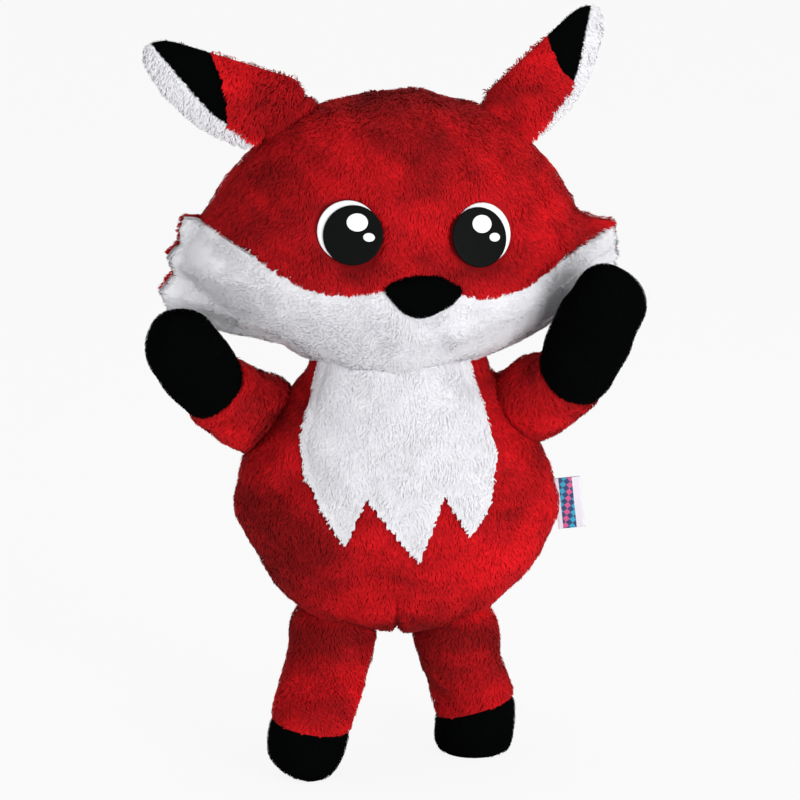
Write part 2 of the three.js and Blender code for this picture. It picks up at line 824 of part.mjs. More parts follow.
for (const [name, { rootShares, cuffShares, tipShares }] of Object.entries(arms)) {
  const root = torsoPlace(rootShares);
  const cuff = v3(...cuffShares).multiplyScalar(armReach);
  const tip = v3(...tipShares).multiplyScalar(armReach);
  const curve = new THREE.CatmullRomCurve3([root, root.clone().add(cuff), root.clone().add(tip)]);
  const cuffShare = cuff.length() / curve.getLength();
  const profile = [
    [cuffShare / 2, (shoulderRadius + cuffRadius) / 2],
    [cuffShare, cuffRadius],
    [(cuffShare + 1) / 2, mittRadius],
    [1, mittRadius],
  ];
  const armForm = (inset) => limbAlong(curve, v3(0, 1, 0), shoulderRadius, profile, inset);
  const outer = armForm(0);
  const cover = outer.subtract(armForm(coverWall));
  const filling = armForm(coverWall + fillingGap).intersect(outer);
  addPiece(body, `sleeve_${name}`, cover.subtract(beyond(curve, cuffShare, -seamGap)), redPlush());
  addPiece(body, `mitt_${name}`, cover.intersect(beyond(curve, cuffShare, 0)), blackPlush());
  addPiece(body, `arm_filling_${name}`, filling, fibreFill());
}

// Legs: round roots under the body, one foot a little forward, soles pressed flat
function legForm(hip, foot, inset) {
  const slope = (z) => THREE.MathUtils.smoothstep(z, footSeamHeight, hip.z);
  const ringAtHeight = (z, halfWidth, halfDepth) =>
    ringAround({
      centre: v3(foot.x + (hip.x - foot.x) * slope(z), foot.y + (hip.y - foot.y) * slope(z), z),
      across: v3(1, 0, 0),
      along: v3(0, 1, 0),
      halfWidth,
      front: halfDepth,
      back: halfDepth,
      count: limbFacets,
    });
  const rings = soleShares.map(([h, w]) =>
    ringAtHeight(h * footSeamHeight + inset, footHalfWidth * w - inset, footHalfDepth * w - inset),
  );
  rings.push(
    ringAtHeight(footSeamHeight + inset, footHalfWidth - inset, footHalfWidth - inset),
    ringAtHeight(legSwellShare * hip.z, legSwellRadius - inset, legSwellRadius - inset),
    ringAtHeight(hip.z, hipRadius - inset, hipRadius - inset),
  );
  if (inset > 0) {
    const boreRadius = hipRadius * boreShare - (inset - coverWall);
    rings.push(ringAtHeight(hip.z + hipRadius / 2, boreRadius, boreRadius));
    rings.push(ringAtHeight(hip.z + 2 * hipRadius, boreRadius, boreRadius));
    return skinOver(rings, v3(foot.x, foot.y, inset), v3(hip.x, hip.y, hip.z + 2 * hipRadius));
  }
  for (const turn of capTurns) {
    const radius = hipRadius * Math.cos(degrees(turn));
    rings.push(ringAtHeight(hip.z + hipRadius * Math.sin(degrees(turn)), radius, radius));
  }
  return skinOver(rings, v3(foot.x, foot.y, -soleCut), v3(hip.x, hip.y, hip.z + hipRadius));
}

const underHeight = (z) =>
  blockBetween(v3(-2 * overrun, -2 * overrun, -overrun), v3(2 * overrun, 2 * overrun, z));
for (const [name, leg] of Object.entries(legs)) {
  const hip = hipAt(leg);
  const foot = v3(leg.footShares[0], leg.footShares[1], 0).multiplyScalar(torsoHalfWidth);
  const outer = legForm(hip, foot, 0).subtract(underHeight(0));
  const cover = outer.subtract(legForm(hip, foot, coverWall));
  const filling = legForm(hip, foot, coverWall + fillingGap).intersect(outer);
  addPiece(body, `leg_cover_${name}`, cover.subtract(underHeight(footSeamHeight + seamGap)), redPlush());
  addPiece(body, `foot_${name}`, cover.intersect(underHeight(footSeamHeight)), blackPlush());
  addPiece(body, `leg_filling_${name}`, filling, fibreFill());
}

// Tail: a plump curved tail with a white tip
const tailAlong = v3(0, Math.cos(degrees(tailRise)), Math.sin(degrees(tailRise)));
const tailLift = v3(0, -Math.sin(degrees(tailRise)), Math.cos(degrees(tailRise)));
const tailCurve = new THREE.QuadraticBezierCurve3(
  tailRoot,
  tailRoot.clone().addScaledVector(tailAlong, tailLength / 2),
  tailRoot.clone().addScaledVector(tailAlong, tailLength).addScaledVector(tailLift, tailCurl),
);
const tailProfile = tailShares.map(([share, radius]) => [share, radius * tailRadius]);
const tailForm = (inset) => limbAlong(tailCurve, v3(1, 0, 0), tailRootRadius, tailProfile, inset);
const tailOuter = tailForm(0);
const tailShell = tailOuter.subtract(tailForm(coverWall));
const tailFilling = tailForm(coverWall + fillingGap);
addPiece(body, "tail_cover", tailShell.subtract(beyond(tailCurve, tailTipShare, -seamGap)), redPlush());
addPiece(body, "tail_tip", tailShell.intersect(beyond(tailCurve, tailTipShare, 0)), whitePlush());
addPiece(body, "tail_filling", tailFilling.intersect(tailOuter), fibreFill());

// Side label: a folded satin loop on a rolled sewn edge
const labelAcross = labelEdgeShare * torsoHalfWidth + labelSeat;
const labelAt = v3(labelAcross, 0, torsoBottomHeight + labelHeightShare * torsoHeight);
function labelSolid() {
  const depth = labelPly + labelSlit / 2;
  const outline = new THREE.Shape();
  outline.moveTo(0, -depth);
  outline.lineTo(labelReach - depth, -depth);
  outline.absarc(labelReach - depth, 0, depth, -Math.PI / 2, Math.PI / 2, false);
  outline.lineTo(0, depth);
  outline.closePath();
  const slit = new THREE.Path();
  slit.moveTo(labelBead + labelPly, -labelSlit / 2);
  slit.lineTo(labelBead + labelPly, labelSlit / 2);
  slit.lineTo(labelReach - depth, labelSlit / 2);
  slit.absarc(labelReach - depth, 0, labelSlit / 2, Math.PI / 2, -Math.PI / 2, true);
  slit.closePath();
  outline.holes.push(slit);
  const loop = new THREE.ExtrudeGeometry(outline, {
    depth: labelHeight,
    bevelEnabled: false,
    curveSegments: bendFacets,
  });
  loop.translate(0, 0, -labelHeight / 2);
  const bead = new THREE.CylinderGeometry(labelBead, labelBead, labelHeight, limbFacets);
  bead.rotateX(Math.PI / 2);
  const whole = solidOf(loop).add(solidOf(bead));
  return whole.rotate([0, -labelLean, 0]).translate([labelAt.x, labelAt.y, labelAt.z]);
}
addPiece(body, "side_label", labelSolid(), labelSatin());

fox.updateMatrixWorld(true);

export default fox;
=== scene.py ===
"""Looks for the plush fox: sewn plush covers with their pile, eyes, nose, ears, limbs, tail and label."""

import math

import bpy
import numpy as np
from mathutils import Matrix, Vector, kdtree


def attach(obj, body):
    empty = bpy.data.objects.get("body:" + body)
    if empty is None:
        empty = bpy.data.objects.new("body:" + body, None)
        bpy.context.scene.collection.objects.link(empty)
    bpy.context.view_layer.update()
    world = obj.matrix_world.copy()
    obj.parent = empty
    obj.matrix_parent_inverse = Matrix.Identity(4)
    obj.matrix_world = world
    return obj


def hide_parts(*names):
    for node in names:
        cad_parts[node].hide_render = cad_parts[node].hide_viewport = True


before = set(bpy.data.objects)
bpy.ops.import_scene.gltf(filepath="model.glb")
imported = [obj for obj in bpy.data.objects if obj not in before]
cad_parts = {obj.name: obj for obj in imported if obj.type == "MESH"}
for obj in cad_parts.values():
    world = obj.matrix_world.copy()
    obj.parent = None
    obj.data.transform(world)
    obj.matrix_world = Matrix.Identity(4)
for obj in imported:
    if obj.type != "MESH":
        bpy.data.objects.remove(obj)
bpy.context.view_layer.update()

bl_info = {
    "name": "Plush fox",
    "version": (1, 0, 0),
    "blender": (4, 5, 0),
    "location": "3D View > Sidebar > Plush fox",
    "description": "Builds a stuffed plush fox, piece by piece",
    "category": "Add Mesh",
}

# Sizes in millimetres, the same as the frame's, and angles in degrees

MM = 0.001
STAND_AT = np.array([3.7, -29.0, 0.0])
HEAD_TURN = 11.0
HEAD_TILT = 3.5
NECK_HEIGHT = 284.0
NECK_SHIFT = -6.0
NECK_RADIUS = 48.0
NECK_TOP = 276.0

TORSO = dict(bottom=87.0, top=258.0, half_width=98.0, front=60.0, back=56.0, power=2.1, set_back=0.0)
TORSO_ROWS = [
    # height, width, depth, shift off the middle line
    (0, 0.2, 0.22, -0.037),
    (0.028, 0.41, 0.46, -0.037),
    (0.075, 0.59, 0.66, -0.037),
    (0.159, 0.735, 0.8, -0.036),
    (0.281, 0.895, 0.93, -0.022),
    (0.43, 1, 1, -0.02),
    (0.561, 0.97, 0.95, -0.02),
    (0.674, 0.91, 0.88, -0.015),
    (0.786, 0.79, 0.82, -0.01),
    (0.88, 0.66, 0.78, 0),
    (0.95, 0.56, 0.75, 0),
    (1, 0.53, 0.73, 0),
    (1.045, 0.46, 0.66, 0),
]

HEAD = dict(bottom=255.0, top=424.0, half_width=132.0, front=78.0, back=68.0, power=1.85, set_back=8.0)
HEAD_ROWS = [
    # height, width, depth, shift off the middle line
    (0, 0.27, 0.2, 0),
    (0.03, 0.4, 0.42, 0),
    (0.08, 0.55, 0.59, 0),
    (0.15, 0.73, 0.75, 0),
    (0.23, 0.87, 0.9, 0),
    (0.34, 1, 0.98, 0),
    (0.46, 0.95, 0.955, 0),
    (0.56, 0.855, 0.89, 0),
    (0.66, 0.78, 0.83, 0),
    (0.77, 0.68, 0.745, 0),
    (0.88, 0.53, 0.6, 0),
    (0.96, 0.29, 0.37, 0),
    (1, 0.1, 0.14, 0),
]
FACE_SEAM = [
    # distance from the middle line, height
    (0, 321.9), (22, 317), (43, 312), (60, 313.5), (73, 317.5), (86, 324), (98, 331.5), (110, 337),
    (121, 341), (140, 343),
]
SIDE_SEAM_BACK = 8.0
CHEEKS = {
    # inner line on the face and jagged outer edge, top to bottom
    "left": dict(
        side=-1,
        inner=[(92, 327), (56, 267)],
        outer=[
            (119, 340.2), (130.4, 342.2), (133, 335.3), (132.2, 326.4), (139.2, 318), (134.2, 306.5),
            (142.3, 295.6), (137.3, 284.5), (133, 278),
        ],
    ),
    "right": dict(
        side=1,
        inner=[(94, 328), (76, 277.5)],
        outer=[
            (124, 339.5), (137.3, 341), (138.5, 337.5), (139.2, 333.5), (140.3, 332), (138.3, 328),
            (141.3, 324), (138.8, 319.5), (140.5, 314), (136, 306), (138, 300),
        ],
    ),
}
# depths of a cheek's front and back at its outer edge
CHEEK_EDGE = (4.0, 8.0)
# where the face's own pile ends under a cheek: so far out from its inner line and above its lower end
CHEEK_OVERLAP = (9, 3)
CHEEK_BACKING = dict(wider=0.8, higher=1.8, inner=100, centre=(118, 312), half_thickness=1.2, depth=9.5)
CHIN = dict(drop=8.0, half_width=52.0, top=302.0, fade=36.0, round=25.0)
RED_CORNER = dict(
    lower=[(98, 332), (116.5, 337), (126, 340), (138, 341.5)],
    upper=[(96, 363), (108, 356), (116, 349.5), (127, 346), (137.5, 345)],
    length=40.5, probe=1.5, level=0.3, blend=9,
)
# a cheek's wedge: its slope at the outer edge as a share of the mean, and how softly it leaves the face
WEDGE = dict(level=0.85, blend=15, sunk=0.8, root=0.3)

NOSE = dict(half_width=24.0, height=25.0, thickness=13.0, at=(4.0, 314.2), sunk=4.0, rim=4.2, tuck=5.5)
NOSE_OUTLINE = [
    # shares of the nose's half width and height
    (-1, 0.19), (-0.72, 0.38), (-0.3, 0.5), (0.1, 0.52), (0.44, 0.48), (0.76, 0.32), (1, 0.19),
    (0.79, -0.15), (0.44, -0.36), (0.18, -0.48), (-0.08, -0.52), (-0.48, -0.39), (-0.78, -0.11),
]
EYE = dict(
    across=39.2, height=349.0, radius=18.6, backing=18.9, shift=3.6, rise=2.5,
    sunk=0.6, felt=1.2, glint=0.5, ply_gap=0.3, dome=0.2,
)
# across, up, half width, half height
LARGE_GLINT = (2.0, 8.0, 6.6, 5.6)
SMALL_GLINT = (10.0, -0.6, 3.6, 2.7)

EAR = dict(
    thickness=9.0, bead=6.0, base_half=19.0, lift=2.6, lining=0.42, base_back=5.0, base_height=405.9,
    slope=40.0, tip_bow=0.06, turned=0.4, turn_width=4.0,
)
EAR_ROWS = [
    # length, inner edge, outer edge, thickness
    (0, 0.19, -0.19, 0.7),
    (0.1, 0.23, -0.25, 0.9),
    (0.27, 0.205, -0.275, 1),
    (0.44, 0.18, -0.28, 1),
    (0.62, 0.15, -0.245, 0.95),
    (0.78, 0.125, -0.19, 0.85),
    (0.9, 0.1, -0.12, 0.7),
    (0.97, 0.06, -0.07, 0.5),
    (1, 0.02, -0.02, 0.2),
]
EARS = {
    # the rim and the tip seam as shares of the ear's length
    "left": dict(
        side=-1, length=102.0, rise=25.0, base_across=69.0, tip=(1.48, -0.43),
        rim=[
            (-0.1, -0.235), (0.1, -0.225), (0.33, -0.195), (0.47, -0.17), (0.62, -0.115), (0.84, -0.025),
            (1.02, 0.05),
        ],
    ),
    "right": dict(
        side=1, length=90.5, rise=54.5, base_across=66.0, tip=(1.06, 0.15),
        rim=[
            (-0.1, -0.235), (0.1, -0.225), (0.33, -0.205), (0.47, -0.205), (0.62, -0.15), (0.84, -0.03),
            (1.02, 0.05),
        ],
    ),
}

SHOULDER = 24.5
CUFF = 22.0
MITT = 23.5
ARMS = {
    # the armhole seam's line in the front view, and its direction toward the body
    "left": dict(
        root=(-84, -1, 220), cuff=(-30, -27, 25), tip=(-49, -50, 56), mitt=23.5,
        seam=(-61.9, 251), inward=(0.834, -0.552),
    ),
    "right": dict(
        root=(77.5, -1, 228), cuff=(27.5, -29, 25), tip=(49, -57, 77), mitt=25.0,
        seam=(53, 244.5), inward=(-0.788, -0.616),
    ),
}
HIP = 26.0
HIP_HEIGHT = 82.0
FOOT_SEAM = 28.0
FOOT_HALF_WIDTH = 24.5
FOOT_HALF_DEPTH = 27.0
LEG_SWELL = (55.0, 24.5)
ANKLE_EXTRA = 0.6
# shares of the foot seam's height, and of the foot's half width and depth
SOLE_ROWS = [(0.004, 0.74), (0.1, 0.88), (0.3, 0.97), (0.62, 1)]
# how far the outer side, the whole sole and the inner side of a rolled foot move
FOOT_ROLL = (7, 2, 8)
LEGS = {
    "left": dict(hip=(-41.4, 0), foot=(-55, -33), seam=31.0, seam_slope=-0.165, roll=1.0),
    "right": dict(hip=(35, 0), foot=(46, 24), seam=29.5, seam_slope=0.25, roll=0.0),
}

TAIL = dict(root=(0, 64, 128), root_radius=17.0, radius=27.0, length=104.0, rise=38.0, curl=24.0, tip=0.66)
# shares of the tail's length and radius
TAIL_ROWS = [(0.2, 0.76), (0.4, 1), (0.62, 0.94), (0.84, 0.7), (1, 0.4)]

BIB = [
    # across, height
    (40, 272), (52, 235), (60.5, 205), (56, 176), (43.5, 157), (28, 184), (12.5, 140), (-20, 182),
    (-33, 152), (-47, 173), (-60, 196), (-61, 214), (-52, 242), (-43, 272),
]
LABEL = dict(height=32.0, reach=15.9, ply=0.5, slit=0.5, at=(97.3, 0.0, 164.0), lean=6.0, tuck=0.6)

# where limbs come out of the torso's surface, and the torso's cover out of the head's
TORSO_CLEAR = 0.94
HEAD_CLEAR = 0.68
# seams: how far they draw the cover in, and half the width of the groove
DART = dict(at=1.5, top=122.0, fade=14.0, depth=3.6, width=2.2)
SIDE_SEAM = dict(depth=2.0, width=2.2, past=40)
CROWN_SEAM = dict(at=2, above=395, depth=1.6, width=2.2)
FACE_GROOVE = dict(depth=1.8, width=2.0)
LIMB_SEAM = dict(depth=1.4, width=1.8)
TAIL_SEAM_DEPTH = 1.2
BIB_SEAM = dict(inside=4.5, depth=0.6, width=1.2)
BIB_LIFT = 2.0
EYE_POCKET = dict(depth=3.0, slope=2.5)
COVER_WALL = 4.0
# further room between the cover and the filling of body and head, and of limbs
BODY_ROOM = 1.2
LIMB_ROOM = 1
# lumps of the stuffing: height, length, seed
BODY_LUMPS = [(1.5, 60, 11), (0.7, 26, 12)]
HEAD_LUMPS = [(1.3, 70, 13), (0.6, 28, 14)]
ARM_LUMPS = [(0.9, 34, 15)]
LEG_LUMPS = [(0.9, 34, 16)]
TAIL_LUMPS = [(0.9, 34, 17)]
# how locks of pile vary: length and width as shares, lean in degrees, stray from the nap
LOCK = dict(length=(0.72, 1.18), width=(0.75, 1.25), lean=6, stray=0.22)
# how a lock bends: its lower half stands up and its upper half leans over, in radians; and its root's depth
BEND = dict(up=0.22, over=0.3, sunk=0.6)
# the size of a clump of locks, across, in depth and in height
CLUMP = (3.6, 3.4, 2.4)
# at the back of a piece, fewer and wider locks
BACK_LOCKS = dict(share=0.45, width=1.5)
# in the baked picture, the backing takes the lowest part and each lock a cell of this grid above it
BAKE_CELLS = np.array([64, 48])
BAKE_BACKING = 0.2
BAKE_PILE = 0.78
# blotches of the brushed nap: amount, length, seed
NAP_BLOTCHES = [(0.22, 46, 6), (0.1, 21, 8), (0.07, 9, 9)]
# painted light and shade: broad strokes in front, darker on the left side, the forehead and a cheek corner,
# a painted shadow under the belly at the tops of the legs, lighter on the right side
PAINTED_SHADING_STROKES = [
    # across, height, half width, half height, darker or lighter
    (-78, 150, 36, 36, -0.5), (-38, 148, 26, 26, -0.35), (-60, 118, 26, 26, -0.2), (68, 150, 40, 40, 0.3),
    (60, 110, 30, 30, 0.15), (0, 402, 46, 46, -0.33), (-70, 385, 40, 40, -0.15), (82, 362, 34, 34, 0.2),
    (-84, 336, 24, 24, -0.25), (-52, 62, 30, 30, -0.1), (50, 66, 30, 30, -0.2), (-100, 222, 24, 24, 0.2),
    (104, 226, 24, 24, 0.1), (-42, 86, 34, 9, -0.5), (44, 86, 34, 9, -0.5), (134, 346, 12, 8, -0.35),
    (-70, 228, 22, 22, -0.25), (-52, 30, 30, 12, 0.1),
]


# Shapes


def turn_matrix():
    """The head's turn and tilt."""
    turn = Matrix.Rotation(math.radians(HEAD_TURN), 3, "Z")
    return np.array(turn @ Matrix.Rotation(math.radians(HEAD_TILT), 3, "Y"))


def body_place(points):
    """Points as drawn on the body, in the frame."""
    return np.asarray(points, float) + STAND_AT


def head_place(points):
    """Points as drawn on a head that looks straight ahead, in the frame."""
    pivot = np.array([0.0, 0.0, NECK_HEIGHT])
    return (np.asarray(points, float) - pivot) @ turn_matrix().T + pivot + [NECK_SHIFT, 0, 0] + STAND_AT


def unit(vectors):
    vectors = np.asarray(vectors, float)
    return vectors / np.maximum(np.linalg.norm(vectors, axis=-1, keepdims=True), 1e-9)


def smooth_rows(rows, count, lead=2):
    """Count rows along a smooth curve through the given ones, evenly spaced by the first columns."""
    rows = np.asarray(rows, float)
    steps = np.maximum(np.linalg.norm(np.diff(rows[:, :lead], axis=0), axis=1), 1e-6) ** 0.5
    at = np.concatenate([[0], np.cumsum(steps)])
    slope = np.zeros_like(rows)
    slope[1:-1] = (rows[2:] - rows[:-2]) / (at[2:] - at[:-2])[:, None]
    slope[0] = (rows[1] - rows[0]) / (at[1] - at[0])
    slope[-1] = (rows[-1] - rows[-2]) / (at[-1] - at[-2])

    def sample(t):
        i = np.clip(np.searchsorted(at, t, side="right") - 1, 0, len(at) - 2)
        h = at[i + 1] - at[i]
        s = ((t - at[i]) / h)[:, None]
        h = h[:, None]
        return (
            (2 * s**3 - 3 * s**2 + 1) * rows[i]
            + (s**3 - 2 * s**2 + s) * h * slope[i]
            + (3 * s**2 - 2 * s**3) * rows[i + 1]
            + (s**3 - s**2) * h * slope[i + 1]
        )

    fine_t = np.linspace(0, at[-1], 1200)
    fine = sample(fine_t)
    along = path_length(fine[:, :lead])
    return sample(np.interp(np.linspace(0, along[-1], count), along, fine_t))


def path_length(points):
    """The distance along a line of points, at each point."""
    return np.concatenate([[0], np.cumsum(np.linalg.norm(np.diff(points, axis=0), axis=1))])


def seam_line(away, half_width):
    """1 on a seam and falling to 0 beside it, from the distance to it."""
    return np.exp(-((away / half_width) ** 2))


def ring_around(centre, across, along, half_width, front, back, power, count):
    """A ring of points: an ellipse, squarer for a power over 2, with its own depth in front and behind."""
    turn = np.arange(count) / count * 2 * np.pi
    c, s = np.cos(turn), np.sin(turn)
    a = np.sign(c) * np.abs(c) ** (2 / power) * half_width
    b = np.sign(s) * np.abs(s) ** (2 / power) * np.where(s < 0, front, back)
    return np.asarray(centre) + a[:, None] * np.asarray(across) + b[:, None] * np.asarray(along)


class Skin:
    """A triangle skin: its points in the frame and as drawn, and each corner's place on its pattern."""

    def __init__(self, drawn, faces, corners, place):
        self.drawn = np.asarray(drawn, float)
        self.points = place(self.drawn)
        self.faces = np.asarray(faces, int)
        self.corners = np.asarray(corners, float)

    def face_normals(self):
        a, b, c = (self.points[self.faces[:, k]] for k in range(3))
        return np.cross(b - a, c - a)

    def normals(self):
        total = np.zeros_like(self.points)
        flat = self.face_normals()
        for k in range(3):
            np.add.at(total, self.faces[:, k], flat)
        return unit(total)

    def middles(self):
        return self.drawn[self.faces].mean(axis=1)

    def face_outward(self):
        """Turns a closed skin's faces over if they look inward."""
        a, b, c = (self.points[self.faces[:, k]] for k in range(3))
        if (a * np.cross(b, c)).sum() < 0:
            self.faces = self.faces[:, ::-1]
            self.corners = self.corners[:, ::-1]
        return self

    def kept(self, mask):
        """The part of the skin whose faces pass. It keeps the normals of the whole."""
        part = object.__new__(Skin)
        faces = self.faces[mask]
        used, faces = np.unique(faces, return_inverse=True)
        part.drawn = self.drawn[used]
        part.points = self.points[used]
        part.faces = faces.reshape(-1, 3)
        part.corners = self.corners[mask]
        part.outward = self.outward_normals()[used]
        return part

    def outward_normals(self):
        return self.outward if hasattr(self, "outward") else self.normals()

    def pushed(self, amount):
        """Moved along its normals by an amount per point, in millimetres."""
        self.points = self.points + self.outward_normals() * np.asarray(amount)[:, None]
        return self


def skin_over(rings, start, end, place):
    """A closed skin over rings of points, with a point at each end, and its pattern wound round it once."""
    rings = np.asarray(rings, float)
    rows, count = rings.shape[:2]
    drawn = np.concatenate([rings.reshape(-1, 3), [start, end]])
    r, i = (grid.ravel() for grid in np.meshgrid(np.arange(rows - 1), np.arange(count), indexing="ij"))
    j = (i + 1) % count
    a, b, c, d = r * count + i, r * count + j, (r + 1) * count + j, (r + 1) * count + i
    u0, u1 = i / count, (i + 1) / count
    v0, v1 = (r + 1) / (rows + 1), (r + 2) / (rows + 1)
    k = np.arange(count)
    n = (k + 1) % count
    last = (rows - 1) * count
    e0, e1 = k / count, (k + 1) / count
    low, high = np.full(count, rows * count), np.full(count, rows * count + 1)
    bottom, first, rim, top = (np.full(count, v) for v in (0.0, 1 / (rows + 1), rows / (rows + 1), 1.0))
    faces, corners = [], []
    for face, uvs in (
        ((a, b, c), ((u0, v0), (u1, v0), (u1, v1))),
        ((a, c, d), ((u0, v0), (u1, v1), (u0, v1))),
        ((low, n, k), ((e0, bottom), (e1, first), (e0, first))),
        ((high, last + k, last + n), ((e0, top), (e0, rim), (e1, rim))),
    ):
        faces.append(np.stack(face, 1))
        corners.append(np.stack([np.stack(uv, 1) for uv in uvs], 1))
    return Skin(drawn, np.concatenate(faces), np.concatenate(corners), place)


def stacked_rings(form, rows, inset, count, around):
    """Rings of a round soft form from rows of shares, bottom to top."""
    bottom, top, half_width = form["bottom"], form["top"], form["half_width"]
    middle = (bottom + top) / 2
    height = 1 - inset / (middle - bottom)
    width = 1 - inset / half_width
    depth = 1 - inset / min(form["front"], form["back"])
    table = [(bottom + h * (top - bottom), w * half_width, d, s * half_width) for h, w, d, s in rows]
    table = [(table[0][0], 0, 0, table[0][3])] + table + [(table[-1][0], 0, 0, table[-1][3])]
    smooth = smooth_rows(table, count + 2)[1:-1]
    rings = []
    for z, w, d, shift in smooth:
        w, d = max(w, 0.5), max(d, 0.005)
        rings.append(
            ring_around(
                (shift, form["set_back"], middle + (z - middle) * height),
                (1, 0, 0),
                (0, 1, 0),
                w * width,
                (form["front"] * d + form["set_back"]) * depth,
                (form["back"] * d - form["set_back"]) * depth,
                form["power"],
                around,
            )
        )
    low = (table[0][3], form["set_back"], middle + (bottom - middle) * height)
    high = (table[-1][3], form["set_back"], middle + (top - middle) * height)
    return rings, low, high


def curve_through(points, count=400):
    """A smooth curve through three or more points, evenly spaced, as points and directions."""
    path = smooth_rows(points, count, lead=3)
    ways = unit(np.gradient(path, axis=0))
    return path, ways


def bent_curve(start, middle, end, count=400):
    """A curve from start to end, drawn toward the middle point, as points and directions."""
    t = np.linspace(0, 1, 4 * count)[:, None]
    path = (1 - t) ** 2 * start + 2 * (1 - t) * t * middle + t**2 * end
    along = path_length(path)
    even = np.linspace(0, along[-1], count)
    path = np.stack([np.interp(even, along, path[:, k]) for k in range(3)], 1)
    return path, unit(np.gradient(path, axis=0))


def limb_skin(curve, side, root_radius, rows, inset, around, place, step):
    """A limb along a curve: round root, smooth swelling, round end."""
    path, ways = curve
    length = np.linalg.norm(np.diff(path, axis=0), axis=1).sum()
    shares = np.array([0] + [s for s, _ in rows], float)
    radii = np.array([root_radius] + [r for _, r in rows], float) - inset
    count = max(6, int(length / step))
    at = np.linspace(0, 1, count)
    body = smooth_rows(np.stack([shares * length, radii], 1), 600)
    body_radii = np.interp(at * length, body[:, 0], body[:, 1])
    rings = []

    def ring(centre, way, radius):
        across = unit(np.cross(side, way))
        along = np.cross(way, across)
        rings.append(ring_around(centre, across, along, radius, radius, radius, 2, around))

    caps = np.radians(np.linspace(0, 84, 9))[1:]
    for turn in caps[::-1]:
        ring(path[0] - ways[0] * radii[0] * math.sin(turn), ways[0], radii[0] * math.cos(turn))
    for share, radius in zip(at, body_radii):
        i = int(round(share * (len(path) - 1)))
        ring(path[i], ways[i], radius)
    for turn in caps:
        ring(path[-1] + ways[-1] * radii[-1] * math.sin(turn), ways[-1], radii[-1] * math.cos(turn))
    start = path[0] - ways[0] * radii[0]
    end = path[-1] + ways[-1] * radii[-1]
    return skin_over(rings, start, end, place)


def leg_skin(leg, inset, around, place):
    """A leg and its foot, from the sole up to the round hip. A rolled foot is cut in on its inner side."""
    hip, foot = np.array(leg["hip"], float), np.array(leg["foot"], float)

    def smoothstep(z):
        t = np.clip((z - FOOT_SEAM) / (HIP_HEIGHT - FOOT_SEAM), 0, 1)
        return t * t * (3 - 2 * t)

    rows = [
        (h * FOOT_SEAM + inset, FOOT_HALF_WIDTH * w - inset, FOOT_HALF_DEPTH * w - inset)
        for h, w in SOLE_ROWS
    ]
    rows += [
        (FOOT_SEAM + inset, FOOT_HALF_WIDTH - inset, FOOT_HALF_WIDTH + ANKLE_EXTRA - inset),
        (LEG_SWELL[0], LEG_SWELL[1] - inset, LEG_SWELL[1] - inset),
        (HIP_HEIGHT, HIP - inset, HIP - inset),
    ]
    for turn in (22, 45, 66, 84):
        radius = (HIP - inset) * math.cos(math.radians(turn))
        rows.append((HIP_HEIGHT + (HIP - inset) * math.sin(math.radians(turn)), radius, radius))
    rings = []
    for z, w, d in smooth_rows(rows, 64):
        middle = foot + (hip - foot) * smoothstep(z)
        ring = ring_around((*middle, z), (1, 0, 0), (0, 1, 0), w, d, d, 2, around)
        low = leg["roll"] * np.clip(1 - z / FOOT_SEAM, 0, 1)
        side = (ring[:, 0] - middle[0]) / FOOT_HALF_WIDTH
        outer, whole, inner = FOOT_ROLL
        ring[:, 0] -= low * (outer * np.clip(side, 0, 1) + whole)
        ring[:, 2] += low * inner * np.clip(-side, 0, 1)
        rings.append(ring)
    return skin_over(rings, (*foot, inset), (*hip, HIP_HEIGHT + HIP - inset), place)


# Noise and pile


def soft_noise(points, scale, seed):
    """A smooth value of about -1 to 1 at each point, from crossed waves of about that length in mm."""
    rng = np.random.default_rng(seed)
    total = np.zeros(len(points))
    for _ in range(7):
        way = unit(rng.normal(size=3))
        length = scale * rng.uniform(0.7, 1.5)
        total += np.sin(points @ way * 2 * np.pi / length + rng.uniform(0, 2 * np.pi))
    return total / 2.6


def inside_outline(x, z, outline):
    """True where a point of the front view lies inside a closed outline."""
    outline = np.asarray(outline, float)
    found = np.zeros(len(x), bool)
    for (x0, z0), (x1, z1) in zip(outline, np.roll(outline, -1, axis=0)):
        crosses = (z0 > z) != (z1 > z)
        at = x0 + (z - z0) * (x1 - x0) / (z1 - z0 if z1 != z0 else 1e-9)
        found ^= crosses & (x < at)
    return found


def edge_distance(x, z, outline):
    """How far each point of the front view lies from an outline."""
    outline = np.asarray(outline, float)
    best = np.full(len(x), 1e9)
    for (x0, z0), (x1, z1) in zip(outline, np.roll(outline, -1, axis=0)):
        d = np.array([x1 - x0, z1 - z0])
        t = np.clip(((x - x0) * d[0] + (z - z0) * d[1]) / max(d @ d, 1e-9), 0, 1)
        best = np.minimum(best, np.hypot(x - x0 - t * d[0], z - z0 - t * d[1]))
    return best


def lumpy(points, lumps):
    """A soft unevenness from lumps of an amount, length and seed each."""
    return sum(amount * soft_noise(points, scale, seed) for amount, scale, seed in lumps)


def nap_blotches_and_painted_shading(points):
    """How light the pile is painted, 0 to 1: soft blotches of the brushed nap, and in front broad strokes
    of painted light and painted shade.
    """
    shade = 0.5 + lumpy(points, NAP_BLOTCHES)
    # broad strokes of painted light and shade, on the front only
    for x, z, wide, high, amount in PAINTED_SHADING_STROKES:
        away = ((points[:, 0] - x) / wide) ** 2 + ((points[:, 2] - z) / high) ** 2
        shade = shade + amount * np.exp(-away) * (points[:, 1] < 10)
    return np.clip(shade, 0, 1)


